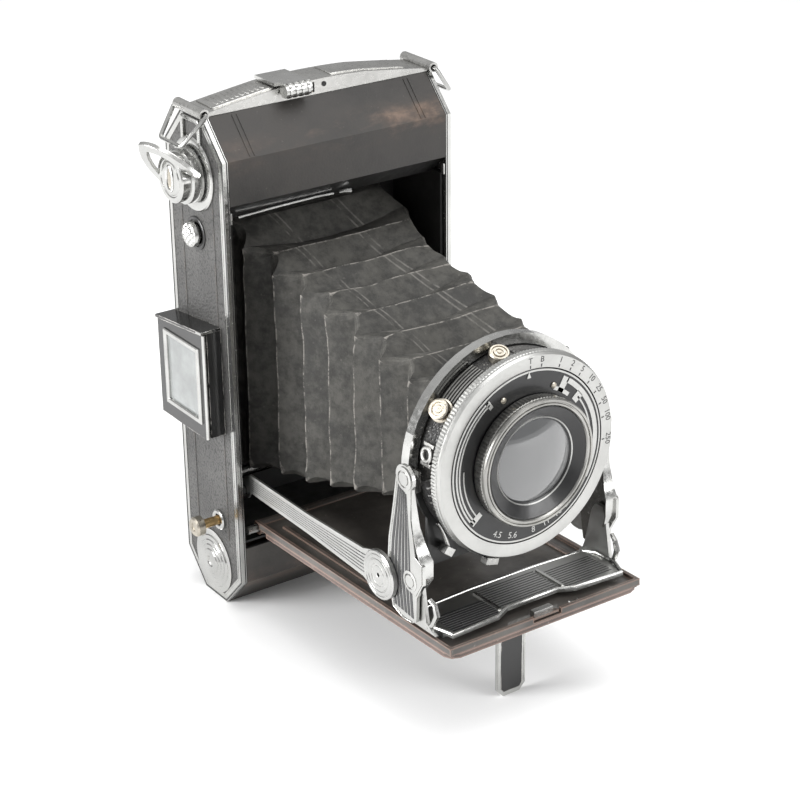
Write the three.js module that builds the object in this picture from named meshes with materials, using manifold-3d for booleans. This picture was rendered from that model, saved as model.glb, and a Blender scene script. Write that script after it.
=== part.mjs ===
// Vintage folding roll-film camera, opened for use and standing on end.
// Millimetres, +Z up. The lens looks along -Y and +X is on the right when the lens is seen from the front.
// The origin is the middle of the body's bottom end face.

import * as THREE from "three";
import { mergeVertices } from "three/addons/utils/BufferGeometryUtils.js";
import Module from "manifold-3d";

const wasm = await Module();
wasm.setup();

// ---- driving dimensions -------------------------------------------------------------------------

const HEIGHT = 162;
const WIDTH = 82;
const DEPTH = 34;
const CHAMFER_DEPTH = 10.4; // along Y
const CHAMFER_HEIGHT = 11.1; // along Z
const HALF_WIDTH = WIDTH / 2;
const HALF_DEPTH = DEPTH / 2;

const PANEL_INNER = 39.2; // inner face of a side panel
const PANEL_FACE = 40.4; // outer face inside the raised rim
const LEATHER_FACE = 40.95;
const RIM_WIDTH = 2.2;
const COVER_HALF_WIDTH = 39; // sheet covers between the side panels
const LEATHER = 0.55;
const GAP = 0.3; // clearance between neighbouring pieces

const OPENING_BOTTOM = 23.2;
const OPENING_TOP = 137.2;
const WELL_HALF_WIDTH = 38.2;
const WELL_FLOOR = 25.1;
const WELL_ROOF = 131;
const GATE_FRONT = 11.1;
const GATE_BACK = 12.2;
const GATE_HALF_WIDTH = 28;
const LENS_Z = 81.3;
const GATE_HALF_HEIGHT = 42;

const UPPER_SPOOL_Z = 143.5;
const LOWER_SPOOL_Z = 12.5;
const SPOOL_FLANGE_R = 10.6;

// Pivots of the self-erecting linkage, as [y, z].
const BED_HINGE = [-16.2, 29];
const LEG_FOOT_PIVOT = [-102.6, 49.7];
const LEG_TOP_PIVOT = [-100.1, 80.9];
const STRUT_REAR_PIVOT = [-12.9, 42];
const STRUT_FRONT_PIVOT = [-88.9, 46];

const BED_HALF_WIDTH = 34.5;
const BED_FRONT = -120.4;
const BED_BACK = -15.6;
const BED_FLOOR = 29.2;
const BED_FLOOR_TOP = 30.3;
const BED_RIM_TOP = 31.4;
const BED_TILT = 2.2; // degrees: the open bed rises a little towards its front
const LEG_INNER = 34.5;
const LEG_OUTER = 35.5;
const STRUT_INNER = 35.8;
const STRUT_OUTER = 36.5;

const BOARD_BACK = -96.5;
const BOARD_FRONT = -97.6;
const ARCH_R = 33;
const CASE_R = 29.3;
const SPEED_RING_R = 31.45;
const SPEED_RING_FRONT = -110.1;
const LENS_RING_R = 19.4;
const LENS_RING_FRONT = -115.5;

const FOOT_Y = -103;
const FOOT_WIDTH = 10.4;
const FOOT_HINGE_Z = 30.3;

const BACK_HINGE = [16.6, 12.2]; // [y, z]
const BACK_FOOT_Z = 14;

const FINDER_FRONT_Y = -11.4;
const FINDER_BACK_Y = 17;
const FINDER_BOTTOM = 61.2;
const FINDER_TOP_FRONT = 97; // the top edge falls a little towards the back
const FINDER_TOP_BACK = 93.8;
const FINDER_FACE = 47.4;

// ---- materials ----------------------------------------------------------------------------------

function finish(color, roughness, metalness) {
  return new THREE.MeshStandardMaterial({ color, roughness, metalness });
}

const chrome = finish(0xd8d8d4, 0.22, 1);
const nickel = finish(0xc9c7bf, 0.3, 1);
const blackEnamel = finish(0x151515, 0.35, 0.2);
const leather = finish(0x26231f, 0.75, 0);
const bellowsLeather = finish(0x3a3835, 0.85, 0);
const blackMetal = finish(0x0c0c0c, 0.5, 0.4);
const brass = finish(0xb08d4a, 0.35, 1);
const glass = finish(0x9fa6aa, 0.05, 0);
const ruby = finish(0x8c1010, 0.2, 0);
const wood = finish(0x3b2a20, 0.6, 0);

// ---- solids -------------------------------------------------------------------------------------

// Axis maps: a section drawn in (u, v) and pushed along w.
const ALONG_X = new THREE.Matrix4().set(0, 0, 1, 0, 1, 0, 0, 0, 0, 1, 0, 0, 0, 0, 0, 1); // u = y, v = z
const ALONG_Y = new THREE.Matrix4().set(0, 1, 0, 0, 0, 0, 1, 0, 1, 0, 0, 0, 0, 0, 0, 1); // u = z, v = x
const ALONG_Z = new THREE.Matrix4();

function solid(geometry) {
  geometry.deleteAttribute("normal");
  geometry.deleteAttribute("uv");
  const merged = mergeVertices(geometry, 1e-5);
  const vertProperties = new Float32Array(merged.attributes.position.array);
  const triVerts = new Uint32Array(merged.index.array);
  return new wasm.Manifold(new wasm.Mesh({ numProp: 3, vertProperties, triVerts }));
}

function geometryOf(body) {
  const mesh = body.getMesh();
  const geometry = new THREE.BufferGeometry();
  geometry.setAttribute("position", new THREE.BufferAttribute(mesh.vertProperties, 3));
  geometry.setIndex(new THREE.BufferAttribute(mesh.triVerts, 1));
  return geometry;
}

function join(...bodies) {
  return bodies.reduce((whole, body) => whole.add(body));
}

function cut(body, ...tools) {
  return tools.reduce((rest, tool) => rest.subtract(tool), body);
}

function extruded(shape, from, to, map, curveSegments = 12) {
  const low = Math.min(from, to);
  const settings = { depth: Math.abs(to - from), bevelEnabled: false, curveSegments };
  const geometry = new THREE.ExtrudeGeometry(shape, settings);
  geometry.translate(0, 0, low);
  geometry.applyMatrix4(map);
  return solid(geometry);
}

function outline(points) {
  return new THREE.Shape(points.map(([u, v]) => new THREE.Vector2(u, v)));
}

// Points are [y, z] for prismX, [z, x] for prismY and [x, y] for prismZ.
function prismX(points, from, to) {
  return extruded(outline(points), from, to, ALONG_X);
}

function prismY(points, from, to) {
  return extruded(outline(points), from, to, ALONG_Y);
}

function prismZ(points, from, to) {
  return extruded(outline(points), from, to, ALONG_Z);
}

function box(x, y, z) {
  const geometry = new THREE.BoxGeometry(x[1] - x[0], y[1] - y[0], z[1] - z[0]);
  geometry.translate((x[0] + x[1]) / 2, (y[0] + y[1]) / 2, (z[0] + z[1]) / 2);
  return solid(geometry);
}

// A box on the left (side -1) or right (side 1), with x measured outwards from the middle.
function sideBox(side, x, y, z) {
  return box([side * x[0], side * x[1]].sort((a, b) => a - b), y, z);
}

function disc(radius, from, to, map, centre, segments) {
  const geometry = new THREE.CylinderGeometry(radius, radius, Math.abs(to - from), segments);
  geometry.rotateX(Math.PI / 2);
  geometry.translate(centre[0], centre[1], (from + to) / 2);
  geometry.applyMatrix4(map);
  return solid(geometry);
}

function discX([y, z], radius, from, to, segments = 32) {
  return disc(radius, from, to, ALONG_X, [y, z], segments);
}

function discY([x, z], radius, from, to, segments = 48) {
  return disc(radius, from, to, ALONG_Y, [z, x], segments);
}

// A turned piece about the lens axis: profile points are [radius, y], closing on themselves or on the axis.
function turnedY(profile, segments = 48) {
  const points = profile.map(([radius, y]) => new THREE.Vector2(radius, y));
  if (profile[0][0] > 0) {
    points.push(points[0].clone());
  }
  const geometry = new THREE.LatheGeometry(points, segments);
  geometry.translate(0, 0, LENS_Z);
  const body = solid(geometry);
  return body.volume() < 0 ? solid(flipped(geometry)) : body;
}

// A turned piece about an axis along X: profile points are [radius, distance outwards] on the side given.
function turnedX(profile, [y, z], side, segments = 32) {
  const points = profile.map(([radius, x]) => new THREE.Vector2(radius, x));
  const geometry = new THREE.LatheGeometry(points, segments);
  geometry.rotateZ(side < 0 ? Math.PI / 2 : -Math.PI / 2);
  geometry.translate(0, y, z);
  const body = solid(geometry);
  return body.volume() < 0 ? solid(flipped(geometry)) : body;
}

function flipped(geometry) {
  const copy = geometry.clone();
  const index = copy.index.array;
  for (let i = 0; i < index.length; i += 3) {
    [index[i], index[i + 1]] = [index[i + 1], index[i]];
  }
  return copy;
}

// Turns a piece that is drawn with the bed level to the bed's own slope.
function onBed(body) {
  const [y, z] = BED_HINGE;
  return body.translate([0, -y, -z]).rotate([-BED_TILT, 0, 0]).translate([0, y, z]);
}

const camera = new THREE.Group();

function addPart(name, body, material) {
  const mesh = new THREE.Mesh(geometryOf(body), material.clone());
  mesh.name = name;
  camera.add(mesh);
}

// ---- body outline -------------------------------------------------------------------------------

// The body's side view is a rectangle with four chamfered corners. corner(inset) gives where the flats
// of that outline end when it is drawn inset by some distance.
const CHAMFER_LENGTH = Math.hypot(CHAMFER_DEPTH, CHAMFER_HEIGHT);

function corner(inset) {
  return {
    face: HALF_DEPTH - inset,
    flat: HALF_DEPTH - CHAMFER_DEPTH - (inset * (CHAMFER_LENGTH - CHAMFER_DEPTH)) / CHAMFER_HEIGHT,
    end: inset,
    shoulder: CHAMFER_HEIGHT + (inset * (CHAMFER_LENGTH - CHAMFER_HEIGHT)) / CHAMFER_DEPTH,
  };
}

function octagon(inset) {
  const { face, flat, end, shoulder } = corner(inset);
  return [
    [-flat, end],
    [flat, end],
    [face, shoulder],
    [face, HEIGHT - shoulder],
    [flat, HEIGHT - end],
    [-flat, HEIGHT - end],
    [-face, HEIGHT - shoulder],
    [-face, shoulder],
  ];
}

function upperFrontPath(inset) {
  const { face, flat, end, shoulder } = corner(inset);
  return [
    [5.6, HEIGHT - end],
    [-flat, HEIGHT - end],
    [-face, HEIGHT - shoulder],
    [-face, OPENING_TOP],
  ];
}

function lowerFrontPath(inset) {
  const { face, flat, end, shoulder } = corner(inset);
  return [
    [-face, OPENING_BOTTOM],
    [-face, shoulder],
    [-flat, end],
    [flat, end],
    [face - 1.6, shoulder - 1.8],
  ];
}

function backPath(inset) {
  const { face, flat, end, shoulder } = corner(inset);
  return [
    [flat + 0.3, HEIGHT - end],
    [face, HEIGHT - shoulder],
    [face, BACK_FOOT_Z],
  ];
}

// A bent sheet between two insets of the same path.
function sheet(path, outer, inner, halfWidth) {
  const points = [...path(outer), ...path(inner).reverse()];
  return prismX(points, -halfWidth, halfWidth);
}

// ---- casing -------------------------------------------------------------------------------------

const KEY_AXIS = [0, UPPER_SPOOL_Z];
const PULL_KNOB = [-5, 29.5];
const RELEASE_BUTTON = [0.5, 124.5];

function sidePanel(side) {
  const plate = prismX(octagon(0), side * PANEL_INNER, side * PANEL_FACE);
  const rim = cut(
    prismX(octagon(0), side * (PANEL_FACE - 0.1), side * HALF_WIDTH),
    prismX(octagon(RIM_WIDTH), side * (PANEL_FACE - 0.2), side * (HALF_WIDTH + 1)),
  );
  return join(plate, rim);
}

function sideLeather(side) {
  return prismX(octagon(RIM_WIDTH + 0.15), side * (PANEL_FACE + 0.02), side * LEATHER_FACE);
}

function addCasing() {
  const throughLeft = [
    discX(KEY_AXIS, 2.9, -42, -38, 16),
    discX(PULL_KNOB, 1.9, -42, -38, 12),
    discX(RELEASE_BUTTON, 3.5, -42, -38, 16),
  ];
  addPart("left_side_panel", cut(sidePanel(-1), ...throughLeft), nickel);
  addPart("left_side_leather", cut(sideLeather(-1), ...throughLeft), leather);
  addPart("right_side_panel", sidePanel(1), nickel);
  addPart("right_side_leather", cut(sideLeather(1), discX([0, 40], 5.3, 39, 42, 24)), leather);
  addPart("tripod_bush", cut(discX([0, 40], 5, PANEL_FACE + 0.02, 41.4, 24), discX([0, 40], 3.1, 40.7, 42, 16)), nickel);

  addPart("upper_front_cover", sheet(upperFrontPath, LEATHER + 0.05, 1.6, COVER_HALF_WIDTH), blackMetal);
  addPart("upper_cover_leather", sheet(upperFrontPath, 0, LEATHER, COVER_HALF_WIDTH), leather);
  addPart("lower_front_cover", sheet(lowerFrontPath, LEATHER + 0.05, 1.6, COVER_HALF_WIDTH), blackMetal);
  addPart("lower_cover_leather", sheet(lowerFrontPath, 0, LEATHER, COVER_HALF_WIDTH), leather);
}

// The well that the bellows folds into, with the film gate in its back wall.
function addFilmGate() {
  const roof = [
    [GATE_BACK, WELL_ROOF],
    [-10, WELL_ROOF],
    [-15.2, 136.6],
    [-15.2, 137.6],
    [-9.6, 131.8],
    [GATE_BACK, 131.8],
  ];
  const gatePlate = box([-39, 39], [GATE_FRONT, GATE_BACK], [24.3, 131.8]);
  const floor = box([-39, 39], [-15.2, GATE_BACK], [24.3, WELL_FLOOR]);
  const sides = [-1, 1].map((side) => sideBox(side, [WELL_HALF_WIDTH, 39], [-15.2, GATE_BACK], [24.3, 131.8]));
  const strutPins = [-1, 1].map((side) =>
    discX(STRUT_REAR_PIVOT, 1.6, side * (STRUT_INNER - 0.6), side * (WELL_HALF_WIDTH + 0.2), 12),
  );
  const aperture = box(
    [-GATE_HALF_WIDTH, GATE_HALF_WIDTH],
    [GATE_FRONT - 1, GATE_BACK + 1],
    [LENS_Z - GATE_HALF_HEIGHT, LENS_Z + GATE_HALF_HEIGHT],
  );
  const rollerSlots = [UPPER_ROLLER_Z, LOWER_ROLLER_Z].map((z) =>
    box([-30, 30], [GATE_FRONT - 1, GATE_BACK + 1], [z - 2.1, z + 2.1]),
  );
  const knobHole = discX(PULL_KNOB, 1.9, -40, -37, 12);
  const shell = join(gatePlate, floor, prismX(roof, -39, 39), ...sides, ...strutPins);
  addPart("film_gate_frame", cut(shell, aperture, knobHole, ...rollerSlots), blackMetal);
  addPart("upper_film_roller", discX([11.6, UPPER_ROLLER_Z], 1.6, -29.6, 29.6, 12), nickel);
  addPart("lower_film_roller", discX([11.6, LOWER_ROLLER_Z], 1.6, -29.6, 29.6, 12), nickel);
}

const UPPER_ROLLER_Z = 127.8;
const LOWER_ROLLER_Z = 34.6;

function spool(z) {
  const core = discX([0, z], 4, -33.5, 33.5, 16);
  const flanges = [-1, 1].map((side) => discX([0, z], SPOOL_FLANGE_R, side * 32, side * 33, 32));
  return join(core, ...flanges);
}

function addTopPlate() {
  const arch = new THREE.Shape();
  arch.moveTo(162.1, -40.2);
  arch.lineTo(163, -40.2);
  arch.quadraticCurveTo(164.2, -32, 166.2, -16);
  arch.quadraticCurveTo(167.2, 0, 166.2, 16);
  arch.quadraticCurveTo(164.2, 32, 163, 40.2);
  arch.lineTo(162.1, 40.2);
  const plate = extruded(arch, -6.2, 6.2, ALONG_Y, 8);
  const bars = [-1, 1].map((side) => {
    const tube = cut(
      discYAt([side * LOOP_BAR_X, LOOP_BAR_Z], 1.7, -8, 8, 16),
      discYAt([side * LOOP_BAR_X, LOOP_BAR_Z], 1.05, -9, 9, 12),
    );
    return cut(tube, box([-50, 50], [-10, 10], [150, 162.05]));
  });
  const notch = box([-4.4, -1.8], [-7, -4.8], [162.9, 166]);
  addPart("top_plate", cut(join(plate, ...bars), notch), chrome);
}

const LOOP_BAR_X = 41;
const LOOP_BAR_Z = 163.4;

function discYAt([x, z], radius, from, to, segments) {
  return disc(radius, from, to, ALONG_Y, [z, x], segments);
}

// A wire loop that hangs outwards and down from the bar at one end of the top plate.
function handleLoop(side) {
  const wireRadius = 0.65;
  const reach = 7.4;
  const drop = 8.8;
  const halfSpan = 8.9;
  const x0 = side * LOOP_BAR_X;
  const x1 = side * (LOOP_BAR_X + reach);
  const z1 = LOOP_BAR_Z - drop;
  const rods = [
    [[x0, -halfSpan, LOOP_BAR_Z], [x0, halfSpan, LOOP_BAR_Z]],
    [[x1, -halfSpan, z1], [x1, halfSpan, z1]],
    [[x0, -halfSpan, LOOP_BAR_Z], [x1, -halfSpan, z1]],
    [[x0, halfSpan, LOOP_BAR_Z], [x1, halfSpan, z1]],
  ].map(([a, b]) => rod(a, b, wireRadius));
  const knuckles = [x0, x1].flatMap((x, i) =>
    [-1, 1].map((end) => {
      const ball = new THREE.SphereGeometry(wireRadius * 1.05, 8, 6);
      ball.translate(x, end * halfSpan, i === 0 ? LOOP_BAR_Z : z1);
      return solid(ball);
    }),
  );
  return join(...rods, ...knuckles);
}

function rod(a, b, radius, segments = 8) {
  const start = new THREE.Vector3(...a);
  const end = new THREE.Vector3(...b);
  const span = end.clone().sub(start);
  const geometry = new THREE.CylinderGeometry(radius, radius, span.length(), segments);
  const turn = new THREE.Quaternion().setFromUnitVectors(new THREE.Vector3(0, 1, 0), span.normalize());
  geometry.applyQuaternion(turn);
  geometry.translate(...start.add(end).multiplyScalar(0.5).toArray());
  return solid(geometry);
}

function addTop() {
  addTopPlate();
  const slider = box([-16, -5.2], [-6.4, 5], [167.1, 168.1]);
  const roller = discX([-8.7, 165.8], 2.1, -14.2, -5.2, 20);
  const neck = box([-14.2, -5.2], [-9, -6.35], [165.8, 168.1]);
  addPart("back_latch", join(slider, neck, roller), chrome);
  addPart("left_handle_loop", handleLoop(-1), chrome);
  addPart("right_handle_loop", handleLoop(1), chrome);
}

// ---- film transport -----------------------------------------------------------------------------

const WING_LIFT = (35 * Math.PI) / 180; // the key's wing stands half raised
const WING_HINGE_X = 50.7;
const WING_HINGE_TILT = 0.3; // the wing's hinge line in the side view, from the -Y direction

function addTransport() {
  const escutcheon = [
    [0, 41],
    [11.6, 41],
    [11.6, 41.5],
    [10.6, 42.2],
    [0, 42.2],
  ];
  const ring = cut(turnedX(escutcheon, KEY_AXIS, -1, 40), discX(KEY_AXIS, 2.9, -44, -40, 16));
  addPart("winding_escutcheon", ring, chrome);

  const hub = [
    [0, 33.8],
    [2.4, 33.8],
    [2.4, 42.5],
    [8.6, 42.5],
    [8.6, 45.6],
    [7.6, 46.4],
    [7.6, 49.3],
    [0, 49.3],
  ];
  const slot = box([-50, -48.2], [-1.4, 1.4], [UPPER_SPOOL_Z - 3.4, UPPER_SPOOL_Z + 3.4]);
  addPart("winding_hub", cut(turnedX(hub, KEY_AXIS, -1, 32), slot), chrome);
  addPart("winding_wing", windingWing(), chrome);

  addPart("take_up_spool", spool(UPPER_SPOOL_Z), wood);
  addPart("supply_spool", spool(LOWER_SPOOL_Z), wood);

  const cap = [
    [0, 41],
    [10.8, 41],
    [10.8, 41.5],
    [8.8, 41.9],
    [7.2, 41.9],
    [6.8, 42.4],
    [4.2, 42.4],
    [3.8, 42.8],
    [0, 42.8],
  ];
  addPart("lower_spool_cap", turnedX(cap, [0, LOWER_SPOOL_Z], -1, 36), chrome);

  const knob = [
    [0, 38.4],
    [1.5, 38.4],
    [1.5, 48.4],
    [3.2, 48.4],
    [3.2, 50.4],
    [2.6, 50.9],
    [0, 50.9],
  ];
  addPart("spool_pull_knob", turnedX(knob, PULL_KNOB, -1, 20), brass);

  const button = [
    [0, 40.5],
    [3.1, 40.5],
    [3.1, 42.2],
    [4, 42.2],
    [4, 43],
    [3.2, 44.2],
    [1.6, 44.9],
    [0, 45.1],
  ];
  addPart("release_button", turnedX(button, RELEASE_BUTTON, -1, 20), chrome);
}

// A pointed arch on the hub with a cut-out, raised by WING_LIFT from the hub's face.
function windingWing() {
  const half = 9.2;
  const height = 14.6;
  const shape = new THREE.Shape();
  shape.moveTo(-half, 0);
  shape.quadraticCurveTo(-half, height * 0.72, -half * 0.2, height);
  shape.quadraticCurveTo(half * 0.9, height * 0.8, half, 0);
  shape.lineTo(half - 2, 0);
  shape.quadraticCurveTo(half * 0.6, height * 0.6, -half * 0.15, height - 3.2);
  shape.quadraticCurveTo(-half * 0.7, height * 0.55, -half + 2, 0);
  const geometry = new THREE.ExtrudeGeometry(shape, { depth: 2, bevelEnabled: false, curveSegments: 8 });
  const plate = solid(placeWing(geometry.translate(0, 0.2, -1)));
  const bar = new THREE.CylinderGeometry(1.15, 1.15, half * 2 + 0.6, 10).rotateZ(Math.PI / 2);
  return join(plate, solid(placeWing(bar)));
}

// Local x runs along the wing's hinge and local y away from it.
function placeWing(geometry) {
  const along = new THREE.Vector3(0, -Math.cos(WING_HINGE_TILT), Math.sin(WING_HINGE_TILT));
  const inPlane = new THREE.Vector3(0, Math.sin(WING_HINGE_TILT), Math.cos(WING_HINGE_TILT));
  const outwards = new THREE.Vector3(-1, 0, 0);
  const up = inPlane.multiplyScalar(Math.cos(WING_LIFT)).add(outwards.multiplyScalar(Math.sin(WING_LIFT)));
  const normal = new THREE.Vector3().crossVectors(along, up);
  const frame = new THREE.Matrix4().makeBasis(along, up, normal);
  frame.setPosition(-WING_HINGE_X, 0, UPPER_SPOOL_Z);
  return geometry.applyMatrix4(frame);
}

// ---- finder -------------------------------------------------------------------------------------

function finderTop(y) {
  const share = (y - FINDER_FRONT_Y) / (FINDER_BACK_Y - FINDER_FRONT_Y);
  return FINDER_TOP_FRONT + (FINDER_TOP_BACK - FINDER_TOP_FRONT) * share;
}

// A slab of the finder under its sloping top edge, from a bottom height up to a drop below that edge.
function finderSlab(y, bottom, drop, x) {
  const points = [
    [y[0], bottom],
    [y[1], bottom],
    [y[1], finderTop(y[1]) - drop],
    [y[0], finderTop(y[0]) - drop],
  ];
  return prismX(points, -x[0], -x[1]);
}

function addFinder() {
  const backPlate = finderSlab([FINDER_FRONT_Y + 0.2, FINDER_BACK_Y - 0.6], FINDER_BOTTOM + 0.5, 0.2, [41.05, 42]);
  const frontWall = finderSlab([FINDER_FRONT_Y + 0.2, FINDER_FRONT_Y + 1.5], FINDER_BOTTOM + 0.5, 0.2, [41.05, 46]);
  const flange = [
    [FINDER_FRONT_Y, finderTop(FINDER_FRONT_Y) - 0.3],
    [FINDER_BACK_Y, finderTop(FINDER_BACK_Y) - 0.3],
    [FINDER_BACK_Y, finderTop(FINDER_BACK_Y) + 0.6],
    [FINDER_FRONT_Y, finderTop(FINDER_FRONT_Y) + 0.6],
  ];
  const topFlange = prismX(flange, -41.05, -48.2);
  addPart("finder_base", join(backPlate, frontWall, topFlange), blackEnamel);

  const window = sideBox(-1, [45, 49], [-7.2, 11.4], [67.3, 89.6]);
  const leaf = cut(
    finderSlab([FINDER_FRONT_Y + 0.2, FINDER_BACK_Y], FINDER_BOTTOM, 0.8, [FINDER_FACE - 0.9, FINDER_FACE]),
    window,
  );
  const border = cut(sideBox(-1, [FINDER_FACE - 0.4, FINDER_FACE + 0.5], [-8.5, 12.7], [66, 90.9]), window);
  addPart("finder_front_frame", join(leaf, border), blackEnamel);
  addPart("finder_front_lens", sideBox(-1, [46.7, 47.2], [-7, 11.2], [67.5, 89.4]), glass);

  const rearWindow = sideBox(-1, [41, 44], [3.6, 12.4], [69, 88]);
  const rearLeaf = sideBox(-1, [42.4, 43.2], [1, FINDER_BACK_Y - 1.6], [FINDER_BOTTOM + 3, 91.5]);
  addPart("finder_rear_frame", cut(rearLeaf, rearWindow), blackEnamel);
  addPart("finder_rear_lens", sideBox(-1, [42.55, 43.05], [3.8, 12.2], [69.2, 87.8]), glass);
}

// ---- bed ----------------------------------------------------------------------------------------

function addBed() {
  const pan = box([-BED_HALF_WIDTH, BED_HALF_WIDTH], [BED_FRONT, BED_BACK], [BED_FLOOR, BED_RIM_TOP]);
  const hollow = box(
    [-BED_HALF_WIDTH + 1.1, BED_HALF_WIDTH - 1.1],
    [BED_FRONT + 1.1, BED_BACK + 5],
    [BED_FLOOR_TOP, BED_RIM_TOP + 1],
  );
  const catchNotch = box([-5, 5], [BED_FRONT - 1, BED_FRONT + 1.6], [BED_FLOOR + 0.6, BED_RIM_TOP + 1]);
  const hingeRoom = discX(BED_HINGE, 2.1, -36, 36, 16);
  const knuckle = cut(discX(BED_HINGE, 2.3, -33.9, 33.9, 16), discX(BED_HINGE, 1.65, -36, 36, 16));
  addPart("bed_plate", onBed(join(cut(pan, hollow, catchNotch, hingeRoom), knuckle)), blackEnamel);
  const underside = box(
    [-BED_HALF_WIDTH + 0.6, BED_HALF_WIDTH - 0.6],
    [BED_FRONT + 0.6, BED_BACK - 3.6],
    [BED_FLOOR - 0.62, BED_FLOOR - 0.02],
  );
  addPart("bed_leather", onBed(underside), leather);
  addPart("bed_hinge_pin", discX(BED_HINGE, 1.3, -WELL_HALF_WIDTH + GAP, WELL_HALF_WIDTH - GAP, 12), nickel);
  const tongue = box([-3.4, 3.4], [BED_FRONT + 1.9, BED_FRONT + 3.8], [BED_FLOOR_TOP + 0.05, BED_RIM_TOP + 0.6]);
  addPart("bed_latch_tongue", onBed(tongue), nickel);
  addPart("standard_crossplate", crossPlate(), chrome);

  const foot = [
    [0, -FOOT_WIDTH / 2 + 2.2],
    [0, FOOT_WIDTH / 2 - 2.2],
    [2.4, FOOT_WIDTH / 2],
    [FOOT_HINGE_Z, FOOT_WIDTH / 2],
    [FOOT_HINGE_Z, -FOOT_WIDTH / 2],
    [2.4, -FOOT_WIDTH / 2],
  ];
  const strip = prismY(foot, FOOT_Y - 0.55, FOOT_Y + 0.55);
  addPart("foot", join(strip, discX([FOOT_Y, FOOT_HINGE_Z], 1, -5.2, 5.2, 12)), chrome);
}

// The plate across the bed that carries the legs: a low stepped bridge with an upright ear at each end.
function crossPlate() {
  const deck = prismZ(
    [
      [-31, -117],
      [-14, -116],
      [-9, -113.4],
      [9, -113.4],
      [14, -116],
      [31, -117],
      [32, -108],
      [31, -98],
      [12, -97],
      [-12, -97],
      [-31, -98],
      [-32, -108],
    ],
    32.2,
    33.2,
  );
  const seats = [-1, 1].map((side) => sideBox(side, [20, 31], [-112, -100], [BED_FLOOR_TOP + 0.05, 32.3]));
  const ear = [
    [-112.4, 35.6],
    [-95.4, 35.2],
    [-96.5, 38],
    [-99.4, 50],
    [-101, 52.9],
    [-104.4, 52.9],
    [-105.8, 50],
    [-108, 38],
  ];
  const ears = [-1, 1].map((side) => prismX(ear, side * 32.8, side * 34));
  const shelves = [-1, 1].map((side) => sideBox(side, [30.5, 33.4], [-111, -97], [32.2, 33.2]));
  const pins = [-1, 1].map((side) => discX(LEG_FOOT_PIVOT, 1.5, side * 33.5, side * (LEG_OUTER + 0.2), 12));
  return join(onBed(join(deck, ...seats, ...shelves)), ...ears, ...pins);
}

// ---- struts and legs ----------------------------------------------------------------------------

function strut(side) {
  const arm = [
    [-17, 48.7],
    [-50, 49],
    [-80, 50.6],
    [-88.9, 53.6],
    [-88.9, 38.4],
    [-80, 41.4],
    [-50, 42.4],
    [-17, 42.4],
    [-15.5, 40],
    [-12.9, 38.8],
    [-10.1, 40.4],
    [-9.7, 42.7],
    [-11.1, 44.8],
  ];
  const plate = prismX(arm, side * STRUT_INNER, side * STRUT_OUTER);
  const head = discX(STRUT_FRONT_PIVOT, 7.6, side * STRUT_INNER, side * 36.9, 32);
  const boss = discX(STRUT_FRONT_PIVOT, 4.6, side * 36.8, side * 37.3, 24);
  const hole = discX(STRUT_REAR_PIVOT, 1.95, side * 34, side * 38, 12);
  return cut(join(plate, head, boss), hole);
}

function leg(side) {
  const web = [
    [-96.4, 82.5],
    [-103.8, 82.5],
    [-103.3, 69],
    [-105.4, 58],
    [-108.6, 56.6],
    [-108.6, 50.6],
    [-105.6, 45.4],
    [-105.2, 37.4],
    [-103, 36.2],
    [-99, 35.9],
    [-93.8, 37.6],
    [-91.4, 50],
    [-92.2, 59.4],
    [-94.8, 72],
  ];
  const plate = prismX(web, side * LEG_INNER, side * LEG_OUTER);
  const topBoss = discX(LEG_TOP_PIVOT, 4.2, side * LEG_INNER, side * LEG_OUTER, 24);
  const holes = [LEG_TOP_PIVOT, LEG_FOOT_PIVOT].map((pivot) => discX(pivot, 1.8, side * 33, side * 37, 12));
  return cut(join(plate, topBoss), ...holes);
}

function addLinkage() {
  addPart("left_strut", strut(-1), chrome);
  addPart("right_strut", strut(1), chrome);
  addPart("left_leg", leg(-1), chrome);
  addPart("right_leg", leg(1), chrome);
}

// ---- lens standard ------------------------------------------------------------------------------

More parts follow.
